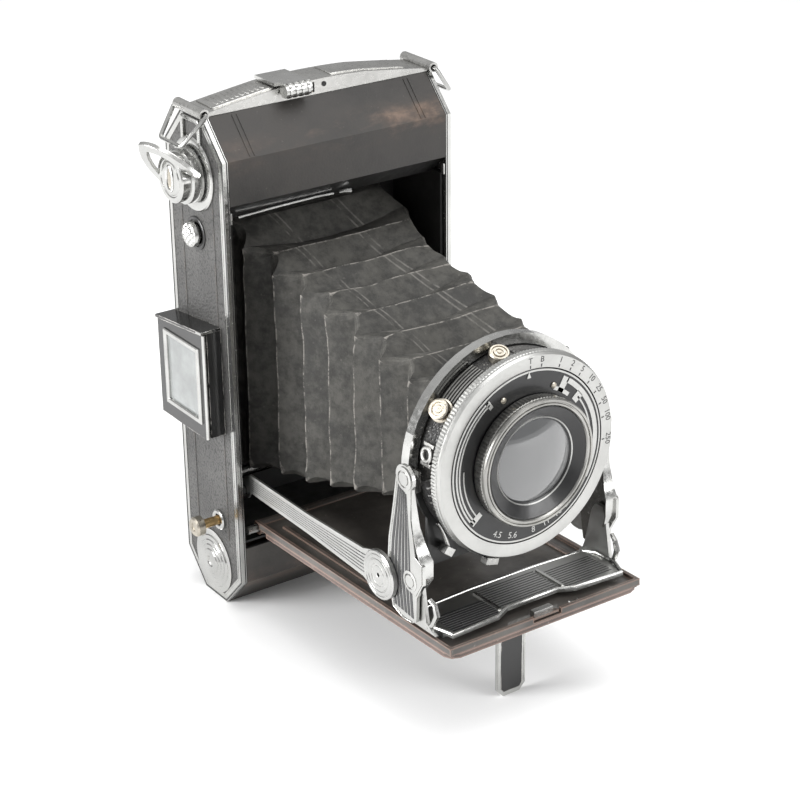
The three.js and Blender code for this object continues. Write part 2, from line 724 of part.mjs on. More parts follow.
function addStandard() {
  const board = join(
    discY([0, LENS_Z], 31, BOARD_FRONT, BOARD_BACK, 48),
    box([-26, 26], [BOARD_FRONT, BOARD_BACK], [49, LENS_Z]),
  );
  addPart("lens_board", cut(board, discY([0, LENS_Z], 16.4, -99, -95, 32)), blackMetal);

  const band = cut(
    discY([0, LENS_Z], ARCH_R, -98.4, -95, 56),
    discY([0, LENS_Z], ARCH_R - 1.4, -99, -94, 56),
    box([-40, 40], [-100, -90], [40, LENS_Z - 1]),
  );
  const sides = [-1, 1].map((side) => sideBox(side, [ARCH_R - 1.4, ARCH_R], [-102, -95], [LENS_Z - 5, LENS_Z - 0.9]));
  const webs = [-1, 1].map((side) => sideBox(side, [31.2, 32], [-102, -95], [LENS_Z - 5, LENS_Z + 1.5]));
  const pins = [-1, 1].map((side) => discX(LEG_TOP_PIVOT, 1.5, side * 31.4, side * (LEG_OUTER + 0.2), 12));
  const seat = cut(
    discY([0, LENS_Z], ARCH_R - 1.2, -98.4, -97.9, 48),
    discY([0, LENS_Z], 29.9, -99, -97, 48),
    box([-40, 40], [-100, -90], [40, LENS_Z - 1]),
  );
  addPart("standard_arch", join(band, ...sides, ...webs, ...pins, seat), chrome);

  const shutterCase = turnedY([
    [CASE_R, -98],
    [CASE_R, -106.2],
    [25.2, -106.2],
    [25.2, -107.9],
    [18, -107.9],
    [18, -98],
  ]);
  const studs = [-0.16, -0.92].map((angle) => caseStud(angle));
  addPart("shutter_case", join(shutterCase, ...studs), blackMetal);

  const speedRing = turnedY([
    [25.5, -106.5],
    [SPEED_RING_R, -106.5],
    [SPEED_RING_R, -109.2],
    [30.4, SPEED_RING_FRONT],
    [25.5, SPEED_RING_FRONT],
  ], 64);
  addPart("speed_ring", speedRing, nickel);

  const facePlate = turnedY([
    [18, -108.2],
    [25.2, -108.2],
    [25.2, -110],
    [18, -110],
  ]);
  addPart("shutter_face_plate", facePlate, blackEnamel);

  const focusingRing = turnedY([
    [15.6, -107.8],
    [17.7, -107.8],
    [17.7, -110.4],
    [LENS_RING_R - 1, -110.4],
    [LENS_RING_R, -111],
    [LENS_RING_R, -114.6],
    [18.4, LENS_RING_FRONT],
    [17.4, LENS_RING_FRONT],
    [15.6, -112.4],
  ]);
  addPart("focusing_ring", focusingRing, nickel);
  addPart("front_lens", turnedY([[0, -108], [15.2, -108], [15.2, -111.6], [11, -113.2], [6, -114.1], [0, -114.5]], 36), glass);
  addPart("shutter_blades", turnedY([[0, -102.4], [17.6, -102.4], [17.6, -103], [0, -103]], 32), blackMetal);

  const rearCell = turnedY([
    [13.2, -98.2],
    [16, -98.2],
    [16, -92.6],
    [13.2, -92.6],
  ], 32);
  addPart("rear_lens_cell", rearCell, blackMetal);
  addPart("rear_lens", turnedY([[0, -97.8], [12.9, -97.8], [12.9, -94.4], [7, -93.2], [0, -92.9]], 28), glass);
}

// A round screw head or knob standing on the rim of the shutter case; angle from straight up, towards +X.
function caseStud(angle) {
  const head = new THREE.CylinderGeometry(2.6, 2.6, 3.4, 16);
  head.translate(0, CASE_R + 0.6, 0);
  head.rotateZ(-angle);
  return solid(head.applyMatrix4(STUD_PLANE));
}

// Takes (x, radial height, depth) drawn in XY to the shutter's own XZ plane.
const STUD_PLANE = new THREE.Matrix4().set(1, 0, 0, 0, 0, 0, -1, -102.2, 0, 1, 0, LENS_Z, 0, 0, 0, 1);

// A lever that stands on the shutter's rim at some angle, with a block at its tip.
function rimLever(angle, from, to, width, y) {
  const arm = new THREE.BoxGeometry(width, to - from, 1.2);
  arm.translate(0, (from + to) / 2, 0);
  const tip = new THREE.BoxGeometry(width * 1.6, 2.2, 2.6);
  tip.translate(0, to, 0);
  return join(
    ...[arm, tip].map((geometry) => {
      geometry.rotateZ(-angle);
      geometry.applyMatrix4(STUD_PLANE);
      geometry.translate(0, y + 102.2, 0);
      return solid(geometry);
    }),
  );
}

function addLevers() {
  addPart("cocking_lever", rimLever(COCKING_ANGLE, 29.7, 34.2, 3, -104.2), nickel);
  addPart("release_lever", rimLever(RELEASE_ANGLE, 29.7, 35.6, 2.6, -101.2), chrome);
  addPart("aperture_lever", rimLever(APERTURE_ANGLE, 29.7, 33.6, 2.4, -104.2), nickel);
}

// Angles round the shutter from straight up, clockwise as seen from the front.
const COCKING_ANGLE = -2.88;
const RELEASE_ANGLE = -2.46;
const APERTURE_ANGLE = 2.7;

// ---- bellows ------------------------------------------------------------------------------------

function bellowsSection(halfWidth, halfHeight, cornerCut) {
  return [
    [-halfWidth + cornerCut, -halfHeight],
    [halfWidth - cornerCut, -halfHeight],
    [halfWidth, -halfHeight + cornerCut],
    [halfWidth, halfHeight - cornerCut],
    [halfWidth - cornerCut, halfHeight],
    [-halfWidth + cornerCut, halfHeight],
    [-halfWidth, halfHeight - cornerCut],
    [-halfWidth, -halfHeight + cornerCut],
  ];
}

// A straight taper between two eight-sided sections.
function taper(front, back, frontY, backY) {
  const count = front.length;
  const positions = [];
  const index = [];
  for (const [section, y] of [[front, frontY], [back, backY]]) {
    section.forEach(([x, z]) => positions.push(x, y, z + LENS_Z));
  }
  for (let i = 0; i < count; i += 1) {
    const next = (i + 1) % count;
    index.push(i, next, count + i, next, count + next, count + i);
  }
  for (let i = 1; i < count - 1; i += 1) {
    index.push(0, i + 1, i, count, count + i, count + i + 1);
  }
  const geometry = new THREE.BufferGeometry();
  geometry.setAttribute("position", new THREE.Float32BufferAttribute(positions, 3));
  geometry.setIndex(index);
  const body = solid(geometry);
  return body.volume() < 0 ? solid(flipped(geometry)) : body;
}

const BELLOWS_FRONT = BOARD_BACK + 0.3;
const BELLOWS_BACK = GATE_FRONT - 0.3;

function addBellows() {
  const wall = 1.6;
  const outside = taper(bellowsSection(23, 24.5, 6), bellowsSection(30, 43.6, 4), BELLOWS_FRONT, BELLOWS_BACK);
  const inside = taper(
    bellowsSection(23 - wall, 24.5 - wall, 5),
    bellowsSection(30 - wall, 43.6 - wall, 3),
    BELLOWS_FRONT - 0.01,
    BELLOWS_BACK + 0.01,
  );
  addPart("bellows", cut(outside, inside), bellowsLeather);
}

// ---- back ---------------------------------------------------------------------------------------

const WINDOW_Z = 48;

function addBack() {
  const windowHole = discY([0, WINDOW_Z], 5, 12, 19, 24);
  const cover = sheet(backPath, LEATHER + 0.05, 1.6, COVER_HALF_WIDTH - 0.2);
  const hinge = join(discX(BACK_HINGE, 1.3, -37, 37, 12), box([-37, 37], [15.4, 16.4], [12.2, 15]));
  addPart("back_cover", cut(join(cover, hinge), windowHole), blackMetal);
  addPart("back_leather", cut(sheet(backPath, 0, LEATHER, COVER_HALF_WIDTH - 0.2), windowHole), leather);
  addPart("ruby_window", discY([0, WINDOW_Z], 4.8, 15.5, 16.3, 24), ruby);
  addPart("pressure_plate", box([-29, 29], [13.6, 14.3], [LENS_Z - 46, LENS_Z + 46]), blackMetal);
  const slider = join(
    box([-6.4, 6.4], [17.05, 17.7], [WINDOW_Z - 6.4, WINDOW_Z + 6.4]),
    box([-1.6, 1.6], [17.6, 18.8], [WINDOW_Z + 2, WINDOW_Z + 5]),
  );
  addPart("window_cover", slider, nickel);
}

addCasing();
addFilmGate();
addTop();
addTransport();
addFinder();
addBed();
addLinkage();
addStandard();
addLevers();
addBellows();
addBack();

export default camera;
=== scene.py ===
import math

import bmesh
import bpy
from mathutils import Matrix, Vector, noise


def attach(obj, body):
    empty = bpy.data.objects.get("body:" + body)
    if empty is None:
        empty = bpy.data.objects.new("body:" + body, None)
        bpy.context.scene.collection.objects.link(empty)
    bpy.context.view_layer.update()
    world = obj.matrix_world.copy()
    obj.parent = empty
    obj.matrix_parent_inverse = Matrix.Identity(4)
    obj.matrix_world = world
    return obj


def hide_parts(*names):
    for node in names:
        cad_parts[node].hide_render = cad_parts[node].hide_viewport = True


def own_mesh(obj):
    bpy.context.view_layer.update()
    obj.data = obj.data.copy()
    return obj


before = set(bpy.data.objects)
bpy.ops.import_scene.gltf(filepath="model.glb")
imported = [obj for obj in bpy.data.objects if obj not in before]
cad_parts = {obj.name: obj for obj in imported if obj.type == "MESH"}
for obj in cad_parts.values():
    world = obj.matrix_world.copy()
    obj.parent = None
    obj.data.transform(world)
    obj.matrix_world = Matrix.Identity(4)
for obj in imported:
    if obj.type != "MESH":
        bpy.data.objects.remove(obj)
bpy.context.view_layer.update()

# Shapes below are written in millimetres, in the frame's own axes: +Z up, the lens looks along -Y.
MM = 0.001
LENS_Z = 81.3
HEIGHT = 162
BED_HINGE = (-16.2, 29)
BED_TILT = math.radians(2.2)
TAU = 2 * math.pi


# ---- camera, floor and light ----------------------------------------------------------------------

def add_camera():
    data = bpy.data.cameras.new("camera")
    data.sensor_width = 36
    data.lens = 98.2
    data.clip_end = 10
    camera = bpy.data.objects.new("camera", data)
    bpy.context.scene.collection.objects.link(camera)
    place = Vector((-0.3418, -0.5436, 0.3528))
    target = Vector((0.0256, -0.0097, 0.0547))
    aim = (target - place).to_track_quat("-Z", "Y").to_matrix()
    camera.location = place
    camera.rotation_euler = (aim @ Matrix.Rotation(math.radians(-0.72), 3, "Z")).to_euler()
    bpy.context.scene.camera = camera


def add_light(name, place, target, size, power):
    data = bpy.data.lights.new(name, "AREA")
    data.shape = "RECTANGLE"
    data.size, data.size_y = size
    data.energy = power
    light = bpy.data.objects.new(name, data)
    light.location = place
    light.rotation_euler = (Vector(target) - Vector(place)).to_track_quat("-Z", "Y").to_euler()
    bpy.context.scene.collection.objects.link(light)


def add_studio():
    scene = bpy.context.scene
    scene.view_settings.view_transform = "Standard"
    world = bpy.data.worlds.new("studio")
    world.use_nodes = True
    nodes, links = world.node_tree.nodes, world.node_tree.links
    direction = nodes.new("ShaderNodeSeparateXYZ")
    links.new(nodes.new("ShaderNodeTexCoord").outputs["Generated"], direction.inputs["Vector"])
    sky = nodes.new("ShaderNodeValToRGB")
    for element, (place, level) in zip(sky.color_ramp.elements, ((0.0, 0.35), (0.7, 1.0))):
        element.position = place
        element.color = (level, level, level, 1)
    links.new(direction.outputs["Z"], sky.inputs["Fac"])
    links.new(sky.outputs["Color"], nodes["Background"].inputs["Color"])
    nodes["Background"].inputs["Strength"].default_value = 0.8
    scene.world = world
    add_light("key", (0.15, -0.15, 1.0), (0, -0.04, 0.05), (0.7, 0.7), 5.0)
    add_light("front", (0.5, -1.0, 0.5), (0, -0.06, 0.06), (0.6, 0.5), 6.0)
    add_light("left", (-1.2, 0.25, 0.4), (-0.04, -0.02, 0.08), (0.7, 0.7), 23.0)

    mesh = bpy.data.meshes.new("floor")
    reach = 4
    corners = [(-reach, -reach, 0), (reach, -reach, 0), (reach, reach, 0), (-reach, reach, 0)]
    mesh.from_pydata(corners, [], [(0, 1, 2, 3)])
    floor = bpy.data.objects.new("floor", mesh)
    scene.collection.objects.link(floor)
    look = Look("floor_paper", (0.9, 0.9, 0.9), 0.6)
    look.tint(look.noise(30), [(0.3, (0.93, 0.93, 0.93)), (0.7, (0.95, 0.95, 0.95))])
    mesh.materials.append(look.material)


# ---- materials --------------------------------------------------------------------------------------

class Look:
    """A Principled material whose colour, roughness and relief come from procedural nodes."""

    def __init__(self, name, color, roughness, metallic=0.0, **sockets):
        self.material = bpy.data.materials.new(name)
        self.material.use_nodes = True
        self.material.diffuse_color = (*color, 1)
        self.tree = self.material.node_tree
        self.shader = self.tree.nodes["Principled BSDF"]
        self.set("Base Color", (*color, 1))
        self.set("Roughness", roughness)
        self.set("Metallic", metallic)
        for socket, value in sockets.items():
            self.set(socket.replace("_", " "), value)
        self.place = self.add("ShaderNodeTexCoord").outputs["Object"]

    def set(self, socket, value):
        self.shader.inputs[socket].default_value = value

    def add(self, kind, **inputs):
        node = self.tree.nodes.new(kind)
        for socket, value in inputs.items():
            self.feed(node, socket.replace("_", " "), value)
        return node

    def feed(self, node, socket, value):
        if isinstance(value, bpy.types.NodeSocket):
            self.tree.links.new(value, node.inputs[socket])
        else:
            node.inputs[socket].default_value = value

    def noise(self, scale, detail=4.0, roughness=0.55, stretch=None):
        vector = self.place
        if stretch:
            mapping = self.add("ShaderNodeMapping", Vector=vector, Scale=stretch)
            vector = mapping.outputs["Vector"]
        node = self.add("ShaderNodeTexNoise", Vector=vector, Scale=scale, Detail=detail, Roughness=roughness)
        return node.outputs["Fac"]

    def cells(self, scale, feature="F1"):
        node = self.tree.nodes.new("ShaderNodeTexVoronoi")
        node.feature = feature
        self.feed(node, "Vector", self.place)
        self.feed(node, "Scale", scale)
        return node.outputs["Distance"]

    def range(self, value, low, high, to_low=0.0, to_high=1.0):
        node = self.tree.nodes.new("ShaderNodeMapRange")
        node.interpolation_type = "SMOOTHSTEP"
        for index, number in enumerate((value, low, high, to_low, to_high)):
            self.feed(node, index, number)
        return node.outputs["Result"]

    def math(self, operation, a, b=0.0):
        node = self.tree.nodes.new("ShaderNodeMath")
        node.operation = operation
        node.use_clamp = operation in ("ADD", "MULTIPLY")
        self.feed(node, 0, a)
        self.feed(node, 1, b)
        return node.outputs["Value"]

    def blend(self, a, a_share, b, b_share):
        return self.math("ADD", self.math("MULTIPLY", a, a_share), self.math("MULTIPLY", b, b_share))

    def axis(self, name):
        return self.add("ShaderNodeSeparateXYZ", Vector=self.place).outputs[name]

    def ridge(self, axis, centre, reach):
        """1 on the plane where this coordinate is at the centre, fading to 0 at the reach, in millimetres."""
        away = self.math("ABSOLUTE", self.math("SUBTRACT", self.axis(axis), centre * MM))
        return self.range(away, 0.0, reach * MM, 1.0, 0.0)

    def edges(self, width):
        """1 along sharp edges and 0 on flat faces; width in millimetres."""
        bevel = self.add("ShaderNodeBevel", Radius=width * MM)
        geometry = self.tree.nodes.new("ShaderNodeNewGeometry")
        dot = self.tree.nodes.new("ShaderNodeVectorMath")
        dot.operation = "DOT_PRODUCT"
        self.feed(dot, 0, bevel.outputs["Normal"])
        self.feed(dot, 1, geometry.outputs["True Normal"])
        return self.range(dot.outputs["Value"], 0.994, 0.9, 0.0, 1.0)

    def mix(self, amount, a, b):
        node = self.tree.nodes.new("ShaderNodeMix")
        node.data_type = "RGBA"
        self.feed(node, 0, amount)
        for index, color in ((6, a), (7, b)):
            self.feed(node, index, color if isinstance(color, bpy.types.NodeSocket) else (*color, 1))
        return node.outputs[2]

    def color(self, socket):
        self.feed(self.shader, "Base Color", socket)

    def ramp(self, value, stops):
        node = self.tree.nodes.new("ShaderNodeValToRGB")
        elements = node.color_ramp.elements
        while len(elements) < len(stops):
            elements.new(0.5)
        for element, (place, color) in zip(elements, stops):
            element.position = place
            element.color = (*color, 1)
        self.feed(node, "Fac", value)
        return node.outputs["Color"]

    def tint(self, value, stops):
        self.color(self.ramp(value, stops))

    def rough(self, value, low, high):
        self.feed(self.shader, "Roughness", self.range(value, 0.25, 0.75, low, high))

    def bump(self, height, strength, depth):
        """Relief; its depth is in millimetres."""
        node = self.add("ShaderNodeBump", Height=height, Strength=strength, Distance=depth * MM)
        self.feed(self.shader, "Normal", node.outputs["Normal"])


def shade(color, factor):
    return tuple(channel * factor for channel in color)


def metal(name, color, low, high, stain):
    look = Look(name, color, low, 1.0)
    cloud = look.noise(90, 5)
    look.tint(cloud, [(0.3, shade(color, stain)), (0.62, color)])
    fine = look.noise(900, 3)
    look.rough(fine, low, high)
    look.bump(fine, 0.25, 0.02)
    return look.material


def pebbled_leather(name, color, grain, depth):
    look = Look(name, color, 0.5)
    pebble = look.cells(1000 / grain, "SMOOTH_F1")
    fine = look.noise(1600, 2)
    cloud = look.noise(55, 4)
    height = look.math("ADD", look.range(pebble, 0.1, 0.75, 1.0, 0.0), look.math("MULTIPLY", fine, 0.25))
    base = look.mix(look.range(cloud, 0.35, 0.7), shade(color, 0.75), shade(color, 1.25))
    base = look.mix(look.range(pebble, 0.45, 0.8), base, shade(color, 0.35))
    worn = look.math("MULTIPLY", look.edges(0.5), look.range(look.noise(260), 0.4, 0.6))
    look.color(look.mix(worn, base, (0.1, 0.085, 0.07)))
    look.rough(pebble, 0.42, 0.62)
    look.bump(height, 0.9, depth)
    return look.material


def cover_leather(name, ridge_axis, ridges, start, full, level=1.0):
    """Smooth black leather, rubbed brown along the ridges it is stretched over, more so to the right."""
    # The level lightens the whole colour; a level above 1 is painted light, a lit copy of the same leather.
    base_color = shade((0.021, 0.019, 0.0172), level)
    look = Look(name, base_color, 0.45)
    grain = look.cells(1400, "SMOOTH_F1")
    fibre = look.noise(520, 5, 0.65, (0.35, 1, 1))
    cloud = look.noise(38, 5, 0.6)
    base = look.mix(look.range(cloud, 0.3, 0.7), shade(base_color, 0.75), shade(base_color, 1.8))
    specks = look.range(look.noise(700, 2, 0.7), 0.7, 0.76)
    base = look.mix(look.math("MULTIPLY", specks, 0.25), base, (0.15, 0.14, 0.13))
    worn = look.ridge(ridge_axis, *ridges[0])
    for ridge in ridges[1:]:
        worn = look.math("MAXIMUM", worn, look.ridge(ridge_axis, *ridge))
    along = look.range(look.axis("X"), start * MM, full * MM, 0.35, 1.0)
    patch = look.range(look.noise(75, 6, 0.7, (0.45, 1, 1)), 0.44, 0.72)
    worn = look.math("MULTIPLY", look.math("MULTIPLY", worn, along), patch)
    rub = look.ramp(look.noise(300, 4), [(0.35, (0.1, 0.066, 0.047)), (0.65, (0.2, 0.135, 0.1))])
    look.color(look.mix(worn, base, rub))
    look.rough(cloud, 0.36, 0.56)
    height = look.blend(grain, 0.5, fibre, 0.5)
    look.bump(height, 0.55, 0.11)
    return look.material


# The pale lines along the top of the bellows, as shares of this half width.
BELLOWS_LINES = (-0.5, -0.41, 0.46, 0.55)
LINE_SPAN = 24


def bellows_leather():
    dull = (0.043, 0.0415, 0.037)
    look = Look("bellows_leather", dull, 0.72)
    cloth = look.noise(1100, 3, 0.7)
    cloud = look.noise(46, 6, 0.65)
    mottle = look.blend(cloud, 0.5, look.noise(260, 4, 0.7), 0.5)
    base = look.mix(look.range(mottle, 0.38, 0.62), shade(dull, 0.5), shade(dull, 1.6))
    specks = look.range(look.noise(620, 2, 0.7), 0.68, 0.75)
    base = look.mix(look.math("MULTIPLY", specks, 0.2), base, (0.2, 0.19, 0.17))
    wear = look.add("ShaderNodeAttribute")
    wear.attribute_name = "wear"
    worn = look.range(wear.outputs["Fac"], 0.72, 1.0)
    rubbed = look.math("MULTIPLY", worn, look.range(look.noise(420, 4, 0.7), 0.4, 0.6))
    across = look.add("ShaderNodeAttribute")
    across.attribute_name = "seam"
    lines = 0.0
    for ratio in BELLOWS_LINES:
        away = look.math("ABSOLUTE", look.math("SUBTRACT", across.outputs["Fac"], ratio))
        line = look.range(away, 0.006, 0.02, 1.0, 0.0)
        lines = look.math("MAXIMUM", lines, line)
    lines = look.math("MULTIPLY", lines, look.range(look.noise(200, 4, 0.7), 0.36, 0.62))
    base = look.mix(look.math("MULTIPLY", lines, 0.55), base, (0.2, 0.19, 0.175))
    look.color(look.mix(rubbed, base, (0.25, 0.235, 0.215)))
    look.rough(cloud, 0.6, 0.85)
    creases = look.noise(130, 5, 0.7, (1, 0.6, 0.25))
    height = look.blend(cloth, 0.4, creases, 0.6)
    look.bump(height, 0.8, 0.35)
    return look.material


def enamel(name, color, low, high, wear_color=None, wear_width=0.35, wear_amount=0.5, speck=0.0, peel=0.03):
    look = Look(name, color, low, 0.0, Coat_Weight=0.25, Coat_Roughness=0.12)
    cloud = look.noise(70, 5)
    base = look.mix(look.range(cloud, 0.3, 0.7), shade(color, 0.7), shade(color, 1.35))
    if speck:
        chips = look.range(look.noise(480, 3, 0.75), 0.66, 0.7)
        base = look.mix(look.math("MULTIPLY", chips, speck), base, (0.28, 0.25, 0.22))
    if wear_color:
        rubbed = look.range(look.noise(170, 5, 0.7), 0.62 - wear_amount * 0.4, 0.66 - wear_amount * 0.2)
        worn = look.math("MULTIPLY", look.edges(wear_width), rubbed)
        base = look.mix(worn, base, wear_color)
    look.color(base)
    look.rough(look.noise(300, 4), low, high)
    look.bump(look.noise(500, 2), 0.4, peel)
    return look.material


def crackle(name):
    """Black grained finish of the shutter's rim."""
    look = Look(name, (0.02, 0.02, 0.02), 0.4, 0.0)
    grain = look.cells(1100, "F1")
    cloud = look.noise(120, 4)
    base = look.mix(look.range(cloud, 0.35, 0.7), (0.014, 0.014, 0.014), (0.045, 0.043, 0.04))
    tops = look.math("MULTIPLY", look.range(grain, 0.3, 0.1), look.range(look.noise(350, 3), 0.5, 0.6))
    look.color(look.mix(tops, base, (0.32, 0.31, 0.29)))
    look.rough(cloud, 0.32, 0.55)
    look.bump(look.range(grain, 0.1, 0.6, 1.0, 0.0), 0.9, 0.14)
    return look.material


def lens_glass():
    look = Look("lens_glass", (0.3, 0.31, 0.32), 0.02, 0.0, IOR=1.6, Coat_Weight=1.0, Coat_Roughness=0.02)
    look.set("Specular IOR Level", 0.9)
    # Painted reflection: the glass's colour runs from near black to grey, lighter to the right and lower
    # down, standing in for the studio light mirrored in it.
    across = look.math("MULTIPLY", look.axis("X"), 24.0)
    lean = look.math("SUBTRACT", across, look.math("MULTIPLY", look.axis("Z"), 14.0))
    sheen = look.math("ADD", look.math("ADD", lean, 1.42), look.math("MULTIPLY", look.noise(55, 2), 0.08))
    look.tint(sheen, [(0.1, (0.02, 0.021, 0.022)), (0.24, (0.06, 0.062, 0.064)), (0.6, (0.12, 0.122, 0.124)),
                      (0.9, (0.27, 0.27, 0.27))])
    return look.material


def plain_glass(name, color):
    look = Look(name, color, 0.04, 0.0, IOR=1.5, Coat_Weight=0.5)
    look.set("Specular IOR Level", 0.8)
    smear = look.noise(110, 5, 0.6)
    look.tint(smear, [(0.35, shade(color, 0.72)), (0.65, color)])
    look.rough(smear, 0.04, 0.14)
    return look.material


def varnished_wood():
    look = Look("spool_wood", (0.09, 0.05, 0.03), 0.4)
    grain = look.noise(260, 5, 0.6, (0.08, 1, 1))
    look.tint(grain, [(0.3, (0.05, 0.028, 0.016)), (0.7, (0.14, 0.08, 0.045))])
    look.rough(grain, 0.35, 0.5)
    look.bump(grain, 0.5, 0.1)
    return look.material


WEAR_BROWN = (0.235, 0.15, 0.115)
LOOKS = {
    "chrome": metal("chrome", (0.55, 0.55, 0.535), 0.12, 0.28, 0.8),
    "nickel": metal("nickel", (0.48, 0.476, 0.46), 0.24, 0.38, 0.75),
    "ring": metal("satin_ring", (0.51, 0.51, 0.495), 0.3, 0.42, 0.88),
    "dull_ring": metal("dull_ring", (0.42, 0.415, 0.395), 0.26, 0.4, 0.6),
    "brass": metal("brass", (0.72, 0.5, 0.24), 0.25, 0.42, 0.6),
    "aged": metal("aged_nickel", (0.5, 0.46, 0.39), 0.25, 0.42, 0.6),
    "leather": pebbled_leather("side_leather", (0.055, 0.054, 0.052), 0.6, 0.16),
    "upper_cover": cover_leather("upper_cover_leather", "Z", [(151.3, 7), (153, 4)], -25, 34),
    # Painted light: the lower cover is the same leather made 2.3 times lighter, standing in for the front
    # light on it.
    "lower_cover": cover_leather("lower_cover_leather", "Z", [(11, 6), (9, 4)], -60, 10, 2.3),
    "bellows": bellows_leather(),
    "enamel": enamel("black_enamel", (0.012, 0.012, 0.012), 0.14, 0.24, (0.75, 0.72, 0.68), 0.3, 0.55),
    "stripe": enamel("stripe_enamel", (0.02, 0.02, 0.021), 0.25, 0.4),
    "bed_paint": enamel("bed_paint", (0.065, 0.059, 0.053), 0.3, 0.5, WEAR_BROWN, 0.8, 1.6, 0.4, 0.08),
    "worn_paint": enamel("worn_paint", (0.075, 0.052, 0.043), 0.35, 0.55, (0.3, 0.2, 0.165), 0.8, 1.4, 0.9,
                         0.08),
    "dark": enamel("dark_lacquer", (0.011, 0.0108, 0.0105), 0.35, 0.55),
    # Painted shade: a near-black finish for flat discs that stand for the shade inside holes.
    "hole_shade": enamel("painted_recess_shade", (0.004, 0.004, 0.004), 0.6, 0.8),
    "crackle": crackle("shutter_crackle"),
    "face": enamel("face_enamel", (0.006, 0.006, 0.0065), 0.3, 0.42),
    "lens": lens_glass(),
    "window": plain_glass("finder_glass", (0.22, 0.232, 0.228)),
    "ruby": plain_glass("ruby_glass", (0.2, 0.006, 0.006)),
    "wood": varnished_wood(),
}
dict.fromkeys(["nickel", "ring", "dull_ring", "aged"], "nickel")
dict.fromkeys(["upper_cover", "lower_cover"], "cover_leather")
dict.fromkeys(["enamel", "stripe", "bed_paint", "worn_paint", "face"], "black_enamel")
dict.fromkeys(["dark", "hole_shade", "crackle"], "black_metal")
dict.fromkeys(["lens", "window"], "glass")

# The CAD nodes that stay, by look.
KEPT = {
    "chrome": ["back_latch", "winding_escutcheon", "lower_spool_cap", "release_lever", "left_side_panel",
               "right_side_panel"],
    "nickel": ["top_plate", "tripod_bush", "upper_film_roller", "lower_film_roller",
               "bed_hinge_pin", "bed_latch_tongue", "window_cover", "cocking_lever", "aperture_lever"],
    "brass": ["spool_pull_knob"],
    "leather": ["left_side_leather", "right_side_leather", "bed_leather", "back_leather"],
    "upper_cover": ["upper_cover_leather"],
    "lower_cover": ["lower_cover_leather"],
    "dark": ["upper_front_cover", "lower_front_cover", "film_gate_frame", "lens_board", "back_cover",
             "pressure_plate", "shutter_blades", "rear_lens_cell"],
    "enamel": ["finder_base", "finder_front_frame", "finder_rear_frame"],
    "bed_paint": ["bed_plate"],
    "lens": ["rear_lens"],
    "window": ["finder_front_lens", "finder_rear_lens"],
    "ruby": ["ruby_window"],
    "wood": ["take_up_spool", "supply_spool"],
}


def soften(obj, width):
    bevel = obj.modifiers.new("soft edges", "BEVEL")
    bevel.width = width * MM
    bevel.segments = 2
    bevel.limit_method = "ANGLE"
    bevel.angle_limit = math.radians(35)
    bevel.use_clamp_overlap = True


def dress(node, look, edge=0.12):
    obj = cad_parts[node]
    obj.data.materials.clear()
    obj.data.materials.append(LOOKS[look])
    if edge:
        soften(obj, edge)


# ---- shapes -----------------------------------------------------------------------------------------

def place_along(axis, u, v, w):
    """(u, v) in a section and w along its axis: (y, z) for x, (x, z) for y and (x, y) for z."""
    return {"x": (w, u, v), "y": (u, w, v), "z": (u, v, w)}[axis]


def prism(points, axis, low, high):
    count = len(points)
    verts = [place_along(axis, u, v, w) for w in (low, high) for u, v in points]
    faces = [tuple(range(count)), tuple(range(2 * count - 1, count - 1, -1))]
    faces += [(i, (i + 1) % count, count + (i + 1) % count, count + i) for i in range(count)]
    return verts, faces


def block(x, y, z):
    return prism([(x[0], y[0]), (x[1], y[0]), (x[1], y[1]), (x[0], y[1])], "z", z[0], z[1])


def loft(rings, closed=False):
    """Skin between rings with the same number of points; the ends are capped unless the rings close up."""
    count = len(rings[0])
    verts = [point for ring in rings for point in ring]
    faces = []
    steps = len(rings) if closed else len(rings) - 1
    for k in range(steps):
        a, b = k * count, ((k + 1) % len(rings)) * count
        faces += [(a + i, a + (i + 1) % count, b + (i + 1) % count, b + i) for i in range(count)]
    if not closed:
        faces += [tuple(range(count - 1, -1, -1)), tuple(range(len(verts) - count, len(verts)))]
    return verts, faces


def turned(profile, axis, centre, segments=72, ripple=None):
    """A closed profile of (radius, along) turned about an axis through the centre, a section point.
    ripple(index, angle) gives what is added to that profile point's radius."""
    rings = []
    for s in range(segments):
        angle = TAU * s / segments
        ring = []
        for index, (radius, along) in enumerate(profile):
            r = radius + (ripple(index, angle) if ripple else 0)
            u, v = centre[0] + r * math.sin(angle), centre[1] + r * math.cos(angle)
            ring.append(place_along(axis, u, v, along))
        rings.append(ring)
    return loft(rings, closed=True)


def dished(profile, axis, centre, segments=48):
    """A profile from rim to middle, closed to a disc: the last radius may be 0."""
    start = [(max(r, 0.001), a) for r, a in profile]
    return turned(start + [(0.001, profile[0][1])], axis, centre, segments)


def tube(path, radius, sides=10, closed=False):
    points = [Vector(p) for p in path]
    count = len(points)
    rings = []
    normal = None
    for i, point in enumerate(points):
        before = points[i - 1] if closed or i else point
        after = points[(i + 1) % count] if closed or i < count - 1 else point
        along = (after - before).normalized()
        if normal is None:
            normal = along.orthogonal().normalized()
        normal = (normal - along * normal.dot(along)).normalized()
        side = along.cross(normal)
        r = radius(i / (count - 1)) if callable(radius) else radius
        rings.append([
            tuple(point + (normal * math.cos(TAU * k / sides) + side * math.sin(TAU * k / sides)) * r)
            for k in range(sides)
        ])
    return loft(rings, closed=closed)


def moved(shape, matrix):
    verts, faces = shape
    return [tuple(matrix @ Vector(v)) for v in verts], faces


def mirrored(shape):
    verts, faces = shape
    return [(-x, y, z) for x, y, z in verts], [tuple(reversed(face)) for face in faces]


# The left side as it is drawn, and the right side as its mirror image.
SIDES = (("left", lambda shape: shape), ("right", mirrored))


def merged(*shapes):
    verts, faces = [], []
    for shape_verts, shape_faces in shapes:
        offset = len(verts)
        verts += shape_verts
        faces += [tuple(index + offset for index in face) for face in shape_faces]
    return verts, faces


